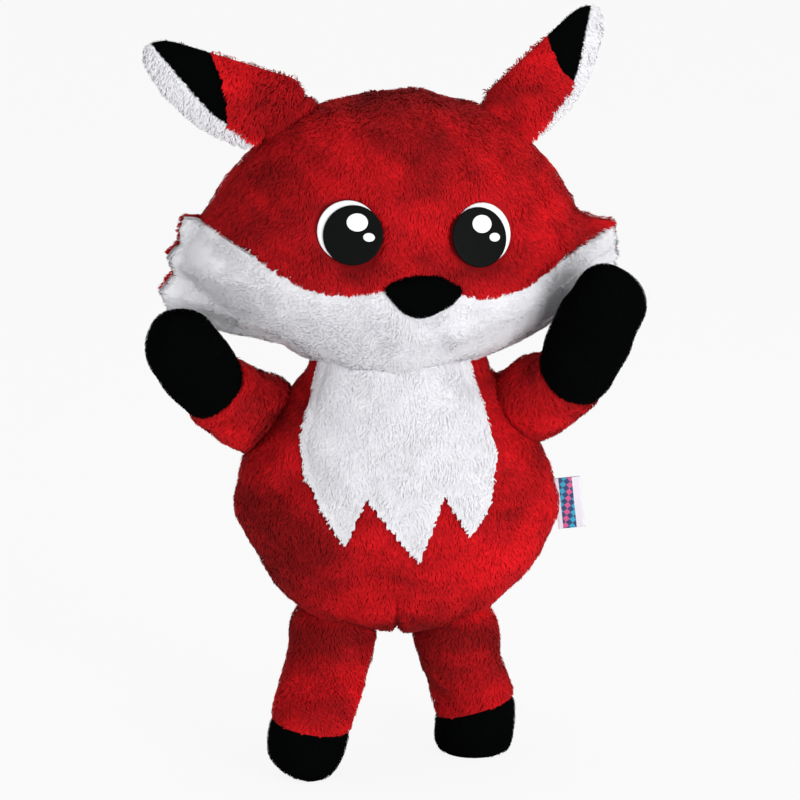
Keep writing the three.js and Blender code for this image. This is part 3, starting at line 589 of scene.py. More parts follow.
class Pile:
    """Locks of pile grown from a skin: each a thin tapered leaf that bends along the nap.

    The nap gives the way that locks lie, keep says which of them grow, shape shortens them, clump draws
    their tips together, messy turns them out of line, relief is how much of each leaf's own shading shows,
    and thin grows fewer at the back.
    """

    def __init__(self, skin, seed, spacing, length, width, lean, nap, keep=None, shape=None,
                 clump=0.55, messy=0.4, relief=0.14, thin=False):
        rng = np.random.default_rng(seed)
        drawn, roots, normals, places, behind = self.sown(rng, skin, spacing, keep, thin)
        count = len(roots)
        stray = np.stack([soft_noise(roots, scale, seed + k) for k, scale in enumerate((23, 19, 21), 1)], 1)
        way = nap(drawn, roots, normals) + messy * unit(stray)
        way = way + LOCK["stray"] * rng.normal(size=(count, 3))
        way = unit(way - normals * (way * normals).sum(axis=1, keepdims=True))
        long = length * rng.uniform(*LOCK["length"], count) * (1 + 0.12 * soft_noise(roots, 16, seed + 4))
        if shape is not None:
            long = long * shape(drawn)
        uneven = rng.normal(scale=LOCK["lean"], size=count)
        tilt = np.radians(lean + uneven + 7 * soft_noise(roots, 13, seed + 5))
        low, high = np.clip(tilt - BEND["up"], 0.1, 1.5), np.clip(tilt + BEND["over"], 0.2, 1.62)
        first = normals * np.cos(low)[:, None] + way * np.sin(low)[:, None]
        second = normals * np.cos(high)[:, None] + way * np.sin(high)[:, None]
        middle = roots + first * (long * 0.5)[:, None]
        tip = middle + second * (long * 0.55)[:, None]
        if clump > 0:
            middle, tip, shade = self.clumped(rng, roots, middle, tip, spacing, clump)
        else:
            shade = rng.random(count)
        twist = rng.uniform(-0.5, 0.5, count)[:, None]
        across = unit(np.cross(normals, way))
        side = unit(across * np.cos(twist) + np.cross(way, across) * np.sin(twist))
        wide = width / 2 * rng.uniform(*LOCK["width"], count) * np.where(behind, BACK_LOCKS["width"], 1)
        half = side * wide[:, None]
        corners = [roots - normals * BEND["sunk"], middle + half, middle - half, tip]
        self.verts = np.stack(corners, 1).reshape(-1, 3)
        self.faces, leaf = self.leaves(normals)
        self.normals = np.repeat(unit(normals * (1 - relief) + leaf * relief), 4, axis=0)
        tint = np.clip(0.6 * shade + 0.4 * rng.random(count), 0, 1)
        # height picks painted shade at each lock's root and painted light at its tip; patch is the nap's
        # blotches with painted strokes of light and shade
        height = np.tile([0.0, 0.6, 0.6, 1.0], count)
        patch = np.repeat(nap_blotches_and_painted_shading(roots), 4)
        self.colours = np.stack([np.repeat(tint, 4), height, patch, np.ones(count * 4)], 1)
        self.uvs = self.cells(places)

    @staticmethod
    def sown(rng, skin, spacing, keep, thin):
        """Roots spread evenly over the skin: as drawn, in place, their normals, places on the pattern, and
        whether they are at the back.
        """
        areas = np.linalg.norm(skin.face_normals(), axis=1) / 2
        count = int(areas.sum() / spacing**2)
        picked = rng.choice(len(areas), size=count, p=areas / areas.sum())
        r1, r2 = np.sqrt(rng.random(count)), rng.random(count)
        weights = np.stack([1 - r1, r1 * (1 - r2), r1 * r2], 1)[:, :, None]
        corner = skin.faces[picked]
        drawn, roots = ((points[corner] * weights).sum(axis=1) for points in (skin.drawn, skin.points))
        normals = unit((skin.outward_normals()[corner] * weights).sum(axis=1))
        places = (skin.corners[picked] * weights).sum(axis=1)
        behind = (normals[:, 1] > 0.25) & thin
        mask = ~behind | (rng.random(count) < BACK_LOCKS["share"])
        if keep is not None:
            mask &= keep(drawn)
        return (a[mask] for a in (drawn, roots, normals, places, behind))

    @staticmethod
    def clumped(rng, roots, middle, tip, spacing, clump):
        """Draws the tips of neighbouring locks together, and gives each clump one shade."""
        count = len(roots)
        clumps = max(4, int(count * spacing**2 / (CLUMP[0] * CLUMP[2])))
        seeds = rng.choice(count, size=clumps, replace=False)
        scaled = roots / CLUMP
        tree = kdtree.KDTree(clumps)
        for i, s in enumerate(seeds):
            tree.insert(scaled[s], i)
        tree.balance()
        nearest = np.array([tree.find(p)[1] for p in scaled])
        target, centre = tip[seeds][nearest], roots[seeds][nearest]
        share = clump * rng.uniform(0.5, 1.1, count)[:, None]
        tip = tip * (1 - share) + (target + 0.15 * (roots - centre)) * share
        bent = 0.5 * (roots + centre) + 0.5 * (target - centre)
        middle = middle * (1 - 0.35 * share) + bent * 0.35 * share
        return middle, tip, rng.random(clumps)[nearest]

    def leaves(self, normals):
        """Two faces to each lock, turned the way that the skin faces, and each leaf's normal."""
        count = len(normals)
        base = np.arange(count)[:, None] * 4
        faces = np.concatenate([base + [0, 1, 2], base + [2, 1, 3]], 1).reshape(-1, 3)
        a, b, c = (self.verts[faces[:, k]] for k in range(3))
        face_way = np.cross(b - a, c - a)
        wrong = (face_way * np.repeat(normals, 2, axis=0)).sum(axis=1) < 0
        faces[wrong] = faces[wrong][:, ::-1]
        face_way[wrong] *= -1
        return faces, unit(face_way.reshape(count, 2, 3).sum(axis=1))

    def cells(self, places):
        """Each lock's place in the baked picture: a small kite in its cell."""
        cell = np.floor(places * BAKE_CELLS) / BAKE_CELLS
        kite = np.array([[0.5, 0.1], [0.9, 0.55], [0.1, 0.55], [0.5, 0.9]]) / BAKE_CELLS * [1, BAKE_PILE]
        uv = cell[:, None, :] * [1, BAKE_PILE] + [0, 1 - BAKE_PILE] + kite[None]
        return uv.reshape(-1, 2)[self.faces]


def long_pile(sizes, skin, seed, lean, nap, length=1.0, spacing=1.0, **rest):
    """The red plush's locks, drawn together in clumps."""
    return Pile(skin, seed, sizes.spacing * spacing, sizes.pile * length, sizes.lock, lean, nap, **rest)


def white_pile(sizes, skin, seed, nap, **rest):
    """The white plush's locks: shorter, finer and looser, so that they read as one even surface."""
    spacing, width = sizes.spacing * 0.85, sizes.lock * 0.9
    loose = dict(messy=0.6, clump=0.3, relief=0.05)
    return Pile(skin, seed, spacing, sizes.white_pile, width, 70, nap, **loose, **rest)


def short_pile(sizes, skin, seed, nap, lean=55, spacing=0.85, **rest):
    """The black plush's locks: very short, each on its own."""
    spacing, width = sizes.spacing * spacing, sizes.lock * 0.7
    return Pile(skin, seed, spacing, sizes.short_pile, width, lean, nap, messy=0.2, clump=0, **rest)


def place_object(name, data):
    """A new object in the scene."""
    made = bpy.data.objects.new(name, data)
    bpy.context.scene.collection.objects.link(made)
    return made


def mesh_piece(name, skin, material, body, node, piles=(), shade=0.0):
    """A piece from its backing skin and its pile, riding on its body in place of a CAD node."""
    count = len(skin.points)
    points, faces, normals = [skin.points], [skin.faces], [skin.outward_normals()]
    # the backing sits low in the pile's colour ramp, a painted shade between the locks, and takes the nap's
    # blotches with painted strokes of light and shade
    patch = nap_blotches_and_painted_shading(skin.points)
    colours = [np.stack([np.full(count, 0.4), np.full(count, shade), patch, np.ones(count)], 1)]
    uvs = [skin.corners * [1, BAKE_BACKING if piles else 1]]
    for pile in piles:
        faces.append(pile.faces + sum(len(p) for p in points))
        points.append(pile.verts)
        normals.append(pile.normals)
        colours.append(pile.colours)
        uvs.append(pile.uvs)
    points = np.concatenate(points) * MM
    faces = np.concatenate(faces)
    mesh = bpy.data.meshes.new(name)
    mesh.vertices.add(len(points))
    mesh.vertices.foreach_set("co", points.astype(np.float32).ravel())
    mesh.loops.add(len(faces) * 3)
    mesh.loops.foreach_set("vertex_index", faces.astype(np.int32).ravel())
    mesh.polygons.add(len(faces))
    mesh.polygons.foreach_set("loop_start", np.arange(0, len(faces) * 3, 3, dtype=np.int32))
    mesh.polygons.foreach_set("loop_total", np.full(len(faces), 3, np.int32))
    mesh.update(calc_edges=True)
    mesh.shade_smooth()
    layer = mesh.uv_layers.new(name="OFBake")
    layer.data.foreach_set("uv", np.concatenate(uvs).astype(np.float32).ravel())
    colour = mesh.color_attributes.new("pile", "FLOAT_COLOR", "POINT")
    colour.data.foreach_set("color", np.concatenate(colours).astype(np.float32).ravel())
    mesh.normals_split_custom_set_from_vertices(np.concatenate(normals).astype(np.float32))
    piece = place_object(name, mesh)
    mesh.materials.append(material)
    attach(piece, body)
    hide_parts(node)
    return piece


def plush_piece(sizes, name, skin, tone, body, node, piles, shade):
    """A piece of red, white or black plush in place of a CAD node."""
    piece = mesh_piece(name, skin, finishes(sizes)[tone], body, node, piles, shade)


# Materials


def linear(hex_colour):
    """An sRGB hex colour as linear RGBA."""
    parts = [int(hex_colour[k : k + 2], 16) / 255 for k in (1, 3, 5)]
    return (*(p / 12.92 if p <= 0.04045 else ((p + 0.055) / 1.055) ** 2.4 for p in parts), 1.0)


def add_node(tree, kind, settings=None, **inputs):
    """A node with its settings, and each input set to a value or linked to another node's socket."""
    made = tree.nodes.new(kind)
    for name, value in (settings or {}).items():
        setattr(made, name, value)
    for name, value in inputs.items():
        key = int(name[1:]) if name[0] == "_" else name.replace("_", " ")
        if isinstance(value, bpy.types.NodeSocket):
            tree.links.new(value, made.inputs[key])
        else:
            made.inputs[key].default_value = value
    return made


def new_material(name):
    """An empty material and its node tree."""
    material = bpy.data.materials.get(name)
    if material:
        bpy.data.materials.remove(material)
    material = bpy.data.materials.new(name)
    material.use_nodes = True
    material.node_tree.nodes.clear()
    return material, material.node_tree


def fine_grain(tree, scale, detail, roughness, strength, depth):
    """Grain in the object's own space: the coordinates, the noise and the bump that it gives."""
    place = add_node(tree, "ShaderNodeTexCoord").outputs["Object"]
    noise = add_node(
        tree, "ShaderNodeTexNoise", Vector=place, Scale=scale, Detail=detail, Roughness=roughness
    ).outputs["Fac"]
    bump = add_node(tree, "ShaderNodeBump", Height=noise, Strength=strength, Distance=depth)
    return place, noise, bump.outputs["Normal"]


# Texture scales, from the real size of a grain

LOCK_GRAIN = 900.0  # 1.1 mm, the width of a lock
STITCH_GRAIN = 900.0  # 1.1 mm, a few threads: single ones are too fine to show
FIBRE_GRAIN = 140.0  # 7 mm clouds of carded fibre
WEAVE_GRAIN = 1500.0  # 0.7 mm, a few threads of the ribbon
LOZENGES = 330.0  # 3 mm
LOZENGE_PAIRS = 165.0  # 6 mm
RIBBON_BAND = 4.2 * MM


def plush_material(name, colour, root, tip, roughness, sheen, sheen_tint, grain, blotch_and_painted_shading, specular=0.15):
    """Knitted polyester plush: painted shade at the backing, painted light at the tips, each lock a little
    different.

    The eye sees painted shade as depth between the locks, soft blotches where the pile has been stroked,
    broad strokes of painted light and shade, and no highlight.
    """
    material, tree = new_material(name)
    pile = add_node(tree, "ShaderNodeAttribute", {"attribute_name": "pile"})
    parts = add_node(tree, "ShaderNodeSeparateColor", Color=pile.outputs["Color"])
    height = add_node(tree, "ShaderNodeValToRGB", Fac=parts.outputs["Green"])
    ramp = height.color_ramp
    # the root share paints shade at the backing, the tip share paints light on the ends of the locks
    ramp.elements[0].color = (*(c * root for c in colour), 1.0)
    ramp.elements[1].color = (*(c * tip for c in colour), 1.0)
    ramp.elements.new(0.5).color = (*colour, 1.0)
    # blue carries the nap's random blotches together with the painted strokes of light and shade
    tint, patch = (
        add_node(tree, "ShaderNodeMapRange", Value=parts.outputs[part], To_Min=1 - vary, To_Max=1 + vary)
        for part, vary in (("Red", grain), ("Blue", blotch_and_painted_shading))
    )
    product = {"operation": "MULTIPLY"}
    both = add_node(tree, "ShaderNodeMath", product, _0=tint.outputs[0], _1=patch.outputs[0])
    coat = add_node(tree, "ShaderNodeHueSaturation", Value=both.outputs[0], Color=height.outputs["Color"])
    _, _, normal = fine_grain(tree, LOCK_GRAIN, 3.0, 0.6, 0.25, 0.4 * MM)
    shader = add_node(
        tree, "ShaderNodeBsdfPrincipled", Base_Color=coat.outputs["Color"], Roughness=roughness,
        Sheen_Weight=sheen, Sheen_Roughness=0.5, Sheen_Tint=linear(sheen_tint),
        Specular_IOR_Level=specular, Normal=normal,
    )
    add_node(tree, "ShaderNodeOutputMaterial", Surface=shader.outputs[0])
    return material


def smooth_material(name, colour, roughness, scale, depth, vary, specular=0.5):
    """A smooth cloth finish, with the fine grain of its threads or fibres."""
    material, tree = new_material(name)
    _, noise, normal = fine_grain(tree, scale, 4.0, 0.65, 0.4, depth)
    value = add_node(tree, "ShaderNodeMapRange", Value=noise, To_Min=1 - vary, To_Max=1 + vary)
    tone = add_node(tree, "ShaderNodeHueSaturation", Value=value.outputs[0], Color=(*colour, 1.0))
    shader = add_node(
        tree, "ShaderNodeBsdfPrincipled", Base_Color=tone.outputs["Color"], Roughness=roughness,
        Specular_IOR_Level=specular, Normal=normal,
    )
    add_node(tree, "ShaderNodeOutputMaterial", Surface=shader.outputs[0])
    return material


def ribbon_material(sizes):
    """White satin ribbon with a woven band of small blue and pink lozenges.

    The eye sees a smooth, slightly shiny strip with bright marks too small to read.
    """
    white, blue, pink = ((*c, 1.0) for c in (sizes.ribbon_white, sizes.ribbon_blue, sizes.ribbon_pink))
    material, tree = new_material("White woven satin ribbon")
    place, _, normal = fine_grain(tree, WEAVE_GRAIN, 4.0, 0.65, 0.4, 0.2 * MM)
    turned = add_node(tree, "ShaderNodeMapping", Vector=place, Rotation=(0, math.radians(39), 0)).outputs[0]
    lozenges, second = (
        add_node(tree, "ShaderNodeTexChecker", Vector=turned, Scale=scale, Color1=first, Color2=other)
        for scale, first, other in ((LOZENGES, linear("#27406F"), white), (LOZENGE_PAIRS, blue, pink))
    )
    colours = {"data_type": "RGBA"}
    both = add_node(
        tree, "ShaderNodeMix", colours, _0=lozenges.outputs["Fac"], _6=second.outputs["Color"],
        _7=lozenges.outputs["Color"],
    )

    def maths(operation, **inputs):
        return add_node(tree, "ShaderNodeMath", {"operation": operation}, **inputs).outputs[0]

    # the band runs along the ribbon, which leans: a height times 0.105 is how far it has moved across
    parts = add_node(tree, "ShaderNodeSeparateXYZ", Vector=place)
    middle = (LABEL["at"][0] + STAND_AT[0] + LABEL["reach"] * 0.42) * MM
    away = maths("SUBTRACT", _0=parts.outputs["X"], _1=middle)
    lean = maths("MULTIPLY_ADD", _0=parts.outputs["Z"], _1=0.105, _2=-0.0172)
    across = maths("ABSOLUTE", _0=maths("ADD", _0=away, _1=lean))
    band = maths("LESS_THAN", _0=across, _1=RIBBON_BAND)
    tone = add_node(tree, "ShaderNodeMix", colours, _0=band, _6=white, _7=both.outputs[2])
    shader = add_node(
        tree, "ShaderNodeBsdfPrincipled", Base_Color=tone.outputs[2], Roughness=0.35, Normal=normal
    )
    add_node(tree, "ShaderNodeOutputMaterial", Surface=shader.outputs[0])
    return material


MATERIALS = {}


def finishes(sizes):
    """The materials, made once."""
    if MATERIALS:
        return MATERIALS
    # red pile: deep and matt, with a faint warm glow along its outline
    MATERIALS["red"] = plush_material(
        "Red knitted plush", sizes.red, 0.7, 1.13, 0.85, 0.12, "#FF6060", grain=0.08, blotch_and_painted_shading=0.5
    )
    # white pile: bright and even, so that only its seams and folds read as grey
    MATERIALS["white"] = plush_material(
        "White knitted plush", sizes.white, 0.9, 1.07, 0.85, 0.1, "#FFFFFF", grain=0.015, blotch_and_painted_shading=0.03
    )
    # short black pile: swallows nearly all light, so that mitts, feet, nose and ear tips look flat black
    MATERIALS["black"] = plush_material(
        "Black short-cut plush", sizes.black, 0.5, 1.5, 0.95, 0.0, "#404040", grain=0.2, blotch_and_painted_shading=0.1,
        specular=0.02,
    )
    # black satin stitch: smooth beside the pile, with a dim soft sheen
    MATERIALS["eye_black"] = smooth_material(
        "Black embroidered satin stitch", sizes.eye_black, 0.6, STITCH_GRAIN, 0.2 * MM, 0.1, specular=0.08
    )
    # white satin stitch: crisp bright rims and highlights
    MATERIALS["eye_white"] = smooth_material(
        "White embroidered satin stitch", sizes.eye_white, 0.5, STITCH_GRAIN, 0.2 * MM, 0.02
    )
    MATERIALS["satin"] = ribbon_material(sizes)
    # carded fibre: warm off-white and cloudy, seen only where a cover is taken off
    MATERIALS["fibre"] = smooth_material(
        "Loose polyester fibre", linear("#EFEDE6")[:3], 0.95, FIBRE_GRAIN, 2 * MM, 0.08
    )
    return MATERIALS


# Where pieces lie


def seam_height(x):
    """The face seam's height at a distance from the middle line."""
    dense = smooth_rows(FACE_SEAM, 200)
    return np.interp(np.abs(x), dense[:, 0], dense[:, 1])


def beside_seam(points):
    """Pile length beside the face seam, where it is caught in the stitches."""
    off = points[:, 2] - seam_height(points[:, 0])
    return 1 - 0.5 * seam_line(off, 3.0) * (points[:, 1] < SIDE_SEAM_BACK)


def in_band(points):
    """True below the face seam and in front of the side seam."""
    return (points[:, 2] < seam_height(points[:, 0])) & (points[:, 1] < SIDE_SEAM_BACK)


def outside_sockets(points):
    """True where the torso's cover lies clear of the head, limbs and tail."""
    mask = np.ones(len(points), bool)
    for centre, radius, _ in TORSO_SOCKETS:
        mask &= np.linalg.norm(points - np.asarray(centre, float), axis=1) > radius
    return mask


# what is sewn to the torso: centre, radius left free of cover, and the filling's further distance
TORSO_SOCKETS = [
    ((NECK_SHIFT, 0, NECK_HEIGHT), NECK_RADIUS - 3, 5),
    (ARMS["left"]["root"], SHOULDER - 9, 15),
    (ARMS["right"]["root"], SHOULDER - 9, 15),
    ((*LEGS["left"]["hip"], HIP_HEIGHT), HIP, 5),
    ((*LEGS["right"]["hip"], HIP_HEIGHT), HIP, 5),
    (TAIL["root"], TAIL["root_radius"], 3),
]


def form_at(rows, share):
    """A form's half width and depth as shares, at a share of its height."""
    table = np.array(rows, float)
    return np.interp(share, table[:, 0], table[:, 1]), np.interp(share, table[:, 0], table[:, 2])


def clear_of_head(points):
    """True where a place on the torso, as drawn, lies clear of the head's underside."""
    pivot = np.array([NECK_SHIFT, 0.0, NECK_HEIGHT])
    local = (points - pivot) @ turn_matrix() + [0, 0, NECK_HEIGHT]
    share = (local[:, 2] - HEAD["bottom"]) / (HEAD["top"] - HEAD["bottom"])
    wide, deep = form_at(HEAD_ROWS, share)
    w = wide * HEAD["half_width"]
    y = local[:, 1] - HEAD["set_back"]
    d = deep * np.where(y < 0, HEAD["front"], HEAD["back"]) + np.where(y < 0, 1, -1) * HEAD["set_back"]
    power = HEAD["power"]
    return (share < 0) | ((np.abs(local[:, 0]) / w) ** power + (np.abs(y) / d) ** power >= HEAD_CLEAR)


def torso_skin(inset, count=84, around=150):
    """The torso's skin, or one inside it for an inset over 0."""
    rings, low, high = stacked_rings(TORSO, TORSO_ROWS, inset, count, around)
    return skin_over(rings, low, high, body_place)


def head_skin(inset, count=92, around=176):
    """The head's skin, or one inside it for an inset over 0."""
    rings, low, high = stacked_rings(HEAD, HEAD_ROWS, inset, count, around)
    return skin_over(rings, low, high, head_place)


def face_depth(x, z):
    """How far back the face lies at a place in the front view, as drawn."""
    share = (z - HEAD["bottom"]) / (HEAD["top"] - HEAD["bottom"])
    wide, deep = form_at(HEAD_ROWS, share)
    across = np.minimum(np.abs(x) / (wide * HEAD["half_width"]), 1)
    depth = deep * HEAD["front"] + HEAD["set_back"]
    return HEAD["set_back"] - depth * (1 - across ** HEAD["power"]) ** (1 / HEAD["power"])


def face_frame(x, z, step):
    """Across, inward and up at a place on the face, and the place."""
    across = unit(np.array([2 * step, face_depth(x + step, z) - face_depth(x - step, z), 0]))
    rise = np.array([0, face_depth(x, z + step) - face_depth(x, z - step), 2 * step])
    inward = unit(np.cross(rise, across))
    up = np.cross(across, inward)
    return np.array([across, inward, up]), np.array([x, face_depth(x, z), z])


def down_nap(drawn, roots, normals):
    """Pile that lies downward, and a little outward at the sides."""
    way = np.zeros_like(roots)
    way[:, 0] = normals[:, 0] * 0.4
    way[:, 2] = -1
    return way


def out_nap(drawn, roots, normals):
    """Pile of the face band: brushed outward from the nose to the cheeks."""
    way = np.zeros_like(roots)
    way[:, 0] = np.sign(drawn[:, 0]) * np.clip(np.abs(drawn[:, 0]) / 40, 0.2, 1)
    way[:, 2] = -0.35
    return way


def steady_nap(way):
    """Pile that lies the same way all over."""
    return lambda drawn, roots, normals: np.tile(way, (len(drawn), 1))


# Pieces


def in_bib(points):
    """True on the bib, in front."""
    return inside_outline(points[:, 0], points[:, 2], BIB) & (points[:, 1] < 0)


def torso_pile_shape(points):
    """Pile length on the red body: short in the dart and at the bib's edge."""
    x, y, z = points.T
    dart = seam_line(x + DART["at"], 2.0) * ((z < DART["top"]) & (y < 0))
    hem = seam_line(edge_distance(x, z, BIB), 3.5) * (y < 0)
    return 1 - 0.6 * np.maximum(dart, 0.7 * hem)


def bib_pile_shape(points):
    """Pile length on the bib: short on its line of stitches and along its lower edge."""
    edge = edge_distance(points[:, 0], points[:, 2], BIB)
    stitches = seam_line(edge - BIB_SEAM["inside"], 1.3)
    return 1 - 0.35 * stitches - 0.55 * seam_line(edge, 2.6) * (points[:, 2] < 190)


def build_torso(sizes):
    """Red body cover with its dart and side seams, the white bib and the filling."""
    skin = torso_skin(0)
    x, y, z = skin.drawn.T
    dart = seam_line(x + DART["at"], DART["width"]) * (y < 0)
    dart *= np.clip((DART["top"] - z) / DART["fade"], 0, 1)
    sides = seam_line(y, SIDE_SEAM["width"]) * (np.abs(x) > SIDE_SEAM["past"])
    skin.pushed(lumpy(skin.points, BODY_LUMPS) - DART["depth"] * dart - SIDE_SEAM["depth"] * sides)
    on_body = lambda p: outside_sockets(p) & clear_of_head(p)
    cover = skin.kept(on_body(skin.middles()))
    on_cover = lambda p: on_body(p) & ~in_bib(p)
    pile = long_pile(sizes, cover, 21, 70, down_nap, keep=on_cover, shape=torso_pile_shape, thin=True)
    plush_piece(sizes, "torso_cover_plush", cover, "red", "torso", "torso_cover", [pile], 0.2)

    bib = torso_skin(-BIB_LIFT, 130, 240)
    edge = edge_distance(bib.drawn[:, 0], bib.drawn[:, 2], BIB)
    groove = seam_line(edge - BIB_SEAM["inside"], BIB_SEAM["width"])
    bib.pushed(lumpy(bib.points, BODY_LUMPS) + 0.4 - BIB_SEAM["depth"] * groove)
    middles = bib.middles()
    patch = bib.kept(in_bib(middles) & on_body(middles))
    pile = white_pile(sizes, patch, 31, down_nap, keep=on_body, shape=bib_pile_shape)
    plush_piece(sizes, "bib_plush", patch, "white", "torso", "bib", [pile], 0.5)

    fibre = torso_skin(COVER_WALL + BODY_ROOM, 70, 110)
    for centre, radius, room in TORSO_SOCKETS:
        hollowed(fibre, body_place(centre), radius + room)
    fill_piece("torso_fibre", fibre, "torso", "torso_filling", sizes)


def hollowed(skin, centre, radius):
    """Presses a skin in along its normals until it is clear of a ball."""
    inward = -skin.outward_normals()
    away = skin.points - centre
    along = (away * inward).sum(axis=1)
    inside = np.linalg.norm(away, axis=1) < radius
    depth = -along + np.sqrt(np.maximum(along**2 - (away**2).sum(axis=1) + radius**2, 0))
    skin.points = skin.points + inward * np.where(inside, depth, 0)[:, None]


def fill_piece(name, skin, body, node, sizes):
    """Loose fibre inside a cover, a little lumpy."""
    skin.pushed(0.5 * soft_noise(skin.points, 18, 5) - 0.5)
    piece = mesh_piece(name, skin, finishes(sizes)["fibre"], body, node)


def eye_layers():
    """Each eye's two large layers: the eye's middle, the layer's shift and rise from it, its radius."""
    for side in (-1, 1):
        yield side * EYE["across"], EYE["height"], 0, 0, EYE["radius"]
        yield side * EYE["across"], EYE["height"], side * EYE["shift"], EYE["rise"], EYE["backing"]


def clear_of_eyes(points):
    """True where pile can grow on the face: outside the eyes, a little more above them, and the nose."""
    x, y, z = points.T
    nose = np.array(NOSE_OUTLINE) * [NOSE["half_width"] - 1, NOSE["height"] - 1] + NOSE["at"]
    covered = inside_outline(x, z, nose)
    for across, height, shift, rise, radius in eye_layers():
        above = np.clip((z - height) / radius, 0, 1)
        covered |= np.hypot(x - across - shift * 0.97, z - height - rise) < radius + 1.2 + 1.6 * above
    return ~(covered & (y < 0))


def build_head(sizes):
    """Red head cover, white face band with its cheeks, red cheek backings and the filling."""
    skin = head_skin(0)
    x, y, z = skin.drawn.T
    off = z - seam_height(x)
    near = (np.abs(off) < 1.1) & (y < SIDE_SEAM_BACK)
    skin.drawn[near, 2] -= off[near]
    hang = seam_line(x, CHIN["half_width"]) * np.clip((CHIN["top"] - z) / CHIN["fade"], 0, 1)
    skin.drawn[:, 2] -= CHIN["drop"] * hang * np.clip(-y / CHIN["round"], 0, 1)
    skin.points = head_place(skin.drawn)
    x, y, z = skin.drawn.T
    seam = seam_line(z - seam_height(x), FACE_GROOVE["width"]) * (y < SIDE_SEAM_BACK)
    crown = seam_line(x + CROWN_SEAM["at"], CROWN_SEAM["width"]) * (z > CROWN_SEAM["above"]) * (y < 10)
    pocket = np.zeros(len(x))
    for across, height, shift, rise, radius in eye_layers():
        away = np.hypot(x - across - shift, z - height - rise)
        slope = EYE_POCKET["slope"]
        pocket = np.maximum(pocket, np.clip((radius + slope - away) / slope, 0, 1) * (y < 0))
    drawn_in = FACE_GROOVE["depth"] * seam + CROWN_SEAM["depth"] * crown + EYE_POCKET["depth"] * pocket
    skin.pushed(lumpy(skin.points, HEAD_LUMPS) - drawn_in)
    band = in_band(skin.middles())

    cover = skin.kept(~band)
    on_cover = lambda p: ~in_band(p) & clear_of_eyes(p)
    piles = [long_pile(sizes, cover, 41, 70, down_nap, keep=on_cover, shape=beside_seam, thin=True)]
    corner = corner_skin()
    piles.append(long_pile(sizes, corner, 45, 58, out_nap, messy=0.3))
    cover = joined([cover, corner])
    plush_piece(sizes, "head_cover_plush", cover, "red", "head", "head_cover", piles, 0.2)

    jaw = skin.kept(band)
    on_jaw = lambda p: in_band(p) & clear_of_eyes(p) & ~under_cheeks(p)
    piles = [white_pile(sizes, jaw, 51, out_nap, keep=on_jaw, shape=beside_seam)]
    wedges = []
    for cheek in CHEEKS.values():
        wedges.append(cheek_wedge(cheek["side"], cheek["inner"], cheek["outer"], 64))
        on_cheek = lambda p: (p[:, 1] < CHEEK_EDGE[1] - 0.2) & (
            edge_distance(np.abs(p[:, 0]), p[:, 2], cheek["inner"]) > 4
        )
        piles.append(white_pile(sizes, wedges[-1], 55 + cheek["side"], out_nap, keep=on_cheek))
    jaw = joined([jaw] + wedges)
    plush_piece(sizes, "face_band_plush", jaw, "white", "head", "face_band", piles, 0.5)

    for name, cheek in CHEEKS.items():
        side, size = cheek["side"], CHEEK_BACKING
        edge = np.array(cheek["outer"][1:]) + [size["wider"], size["higher"]]
        outline = [(size["inner"], edge[0][1] - 1), *edge, (size["inner"], edge[-1][1] + 1)]
        outline = [(px * side, pz) for px, pz in outline]
        centre = (side * size["centre"][0], size["centre"][1])
        back = pad_skin(outline, centre, size["half_thickness"], size["depth"], head_place)
        nap = steady_nap([side, 0, -0.25])
        pile = long_pile(sizes, back, 65 + side, 55, nap, length=0.7, spacing=0.9)
        name = f"cheek_backing_{name}"
        plush_piece(sizes, f"{name}_plush", back, "red", "head", name, [pile], 0.2)

    fibre = head_skin(COVER_WALL + BODY_ROOM, 40, 60)
    fibre.drawn[:, 2] = np.maximum(fibre.drawn[:, 2], NECK_TOP)
    fibre.points = head_place(fibre.drawn)
    fill_piece("head_fibre", fibre, "head", "head_filling", sizes)


def joined(skins):
    """Several skins as one."""
    part = object.__new__(Skin)
    starts = np.cumsum([0] + [len(s.points) for s in skins])
    part.outward = np.concatenate([s.outward_normals() for s in skins])
    part.drawn = np.concatenate([s.drawn for s in skins])
    part.points = np.concatenate([s.points for s in skins])
    part.faces = np.concatenate([s.faces + n for s, n in zip(skins, starts)])
    part.corners = np.concatenate([s.corners for s in skins])
    return part


def along_line(points, count):
    """Evenly spaced places along a line of straight pieces."""
    points = np.asarray(points, float)
    at = path_length(points)
    even = np.linspace(0, at[-1], count)
    return np.stack([np.interp(even, at, points[:, k]) for k in (0, 1)], 1)


def flared(share, start, steep, level):
    """Depths that leave the face at its own slope and reach the cheek's edge at a share of the mean one."""
    rise = CHEEK_EDGE[0] - start
    steep = np.clip(steep, 0, 1.25 * rise)
    return (
        start
        + (share**3 - 2 * share**2 + share) * steep
        + (3 * share**2 - 2 * share**3) * rise
        + (share**3 - share**2) * level * rise
    )


def soft_min(a, b, blend):
    """The smaller of two depths, with a soft change from one to the other."""
    share = np.clip(0.5 + 0.5 * (b - a) / blend, 0, 1)
    return b * (1 - share) + a * share - blend * share * (1 - share)


def seam_sink(places):
    """How deep the face seam pulls the covers in, at places in the front view."""
    off = places[:, 1] - seam_height(places[:, 0])
    return FACE_GROOVE["depth"] * seam_line(off, FACE_GROOVE["width"])


def wedge_root(share):
    """How much deeper than the face a wedge lies near its root, so that its edge doesn't show."""
    return WEDGE["sunk"] * np.clip(1 - share / WEDGE["root"], 0, 1) ** 2


def wedge_ring(places, depth, side, every):
    """A ring of a wedge: its front at these depths, and its flat back with fewer points."""
    back = CHEEK_EDGE[1]
    front = np.stack([places[:, 0] * side, np.minimum(depth, back - 1), places[:, 1]], 1)
    rear = front[::-every].copy()
    rear[:, 1] = back
    return np.concatenate([front, rear])


def closed_wedge(rings):
    """A wedge over its rings, closed at both ends."""
    start, end = np.mean(rings[0], axis=0), np.mean(rings[-1], axis=0)
    return skin_over(rings, start, end, head_place).face_outward()


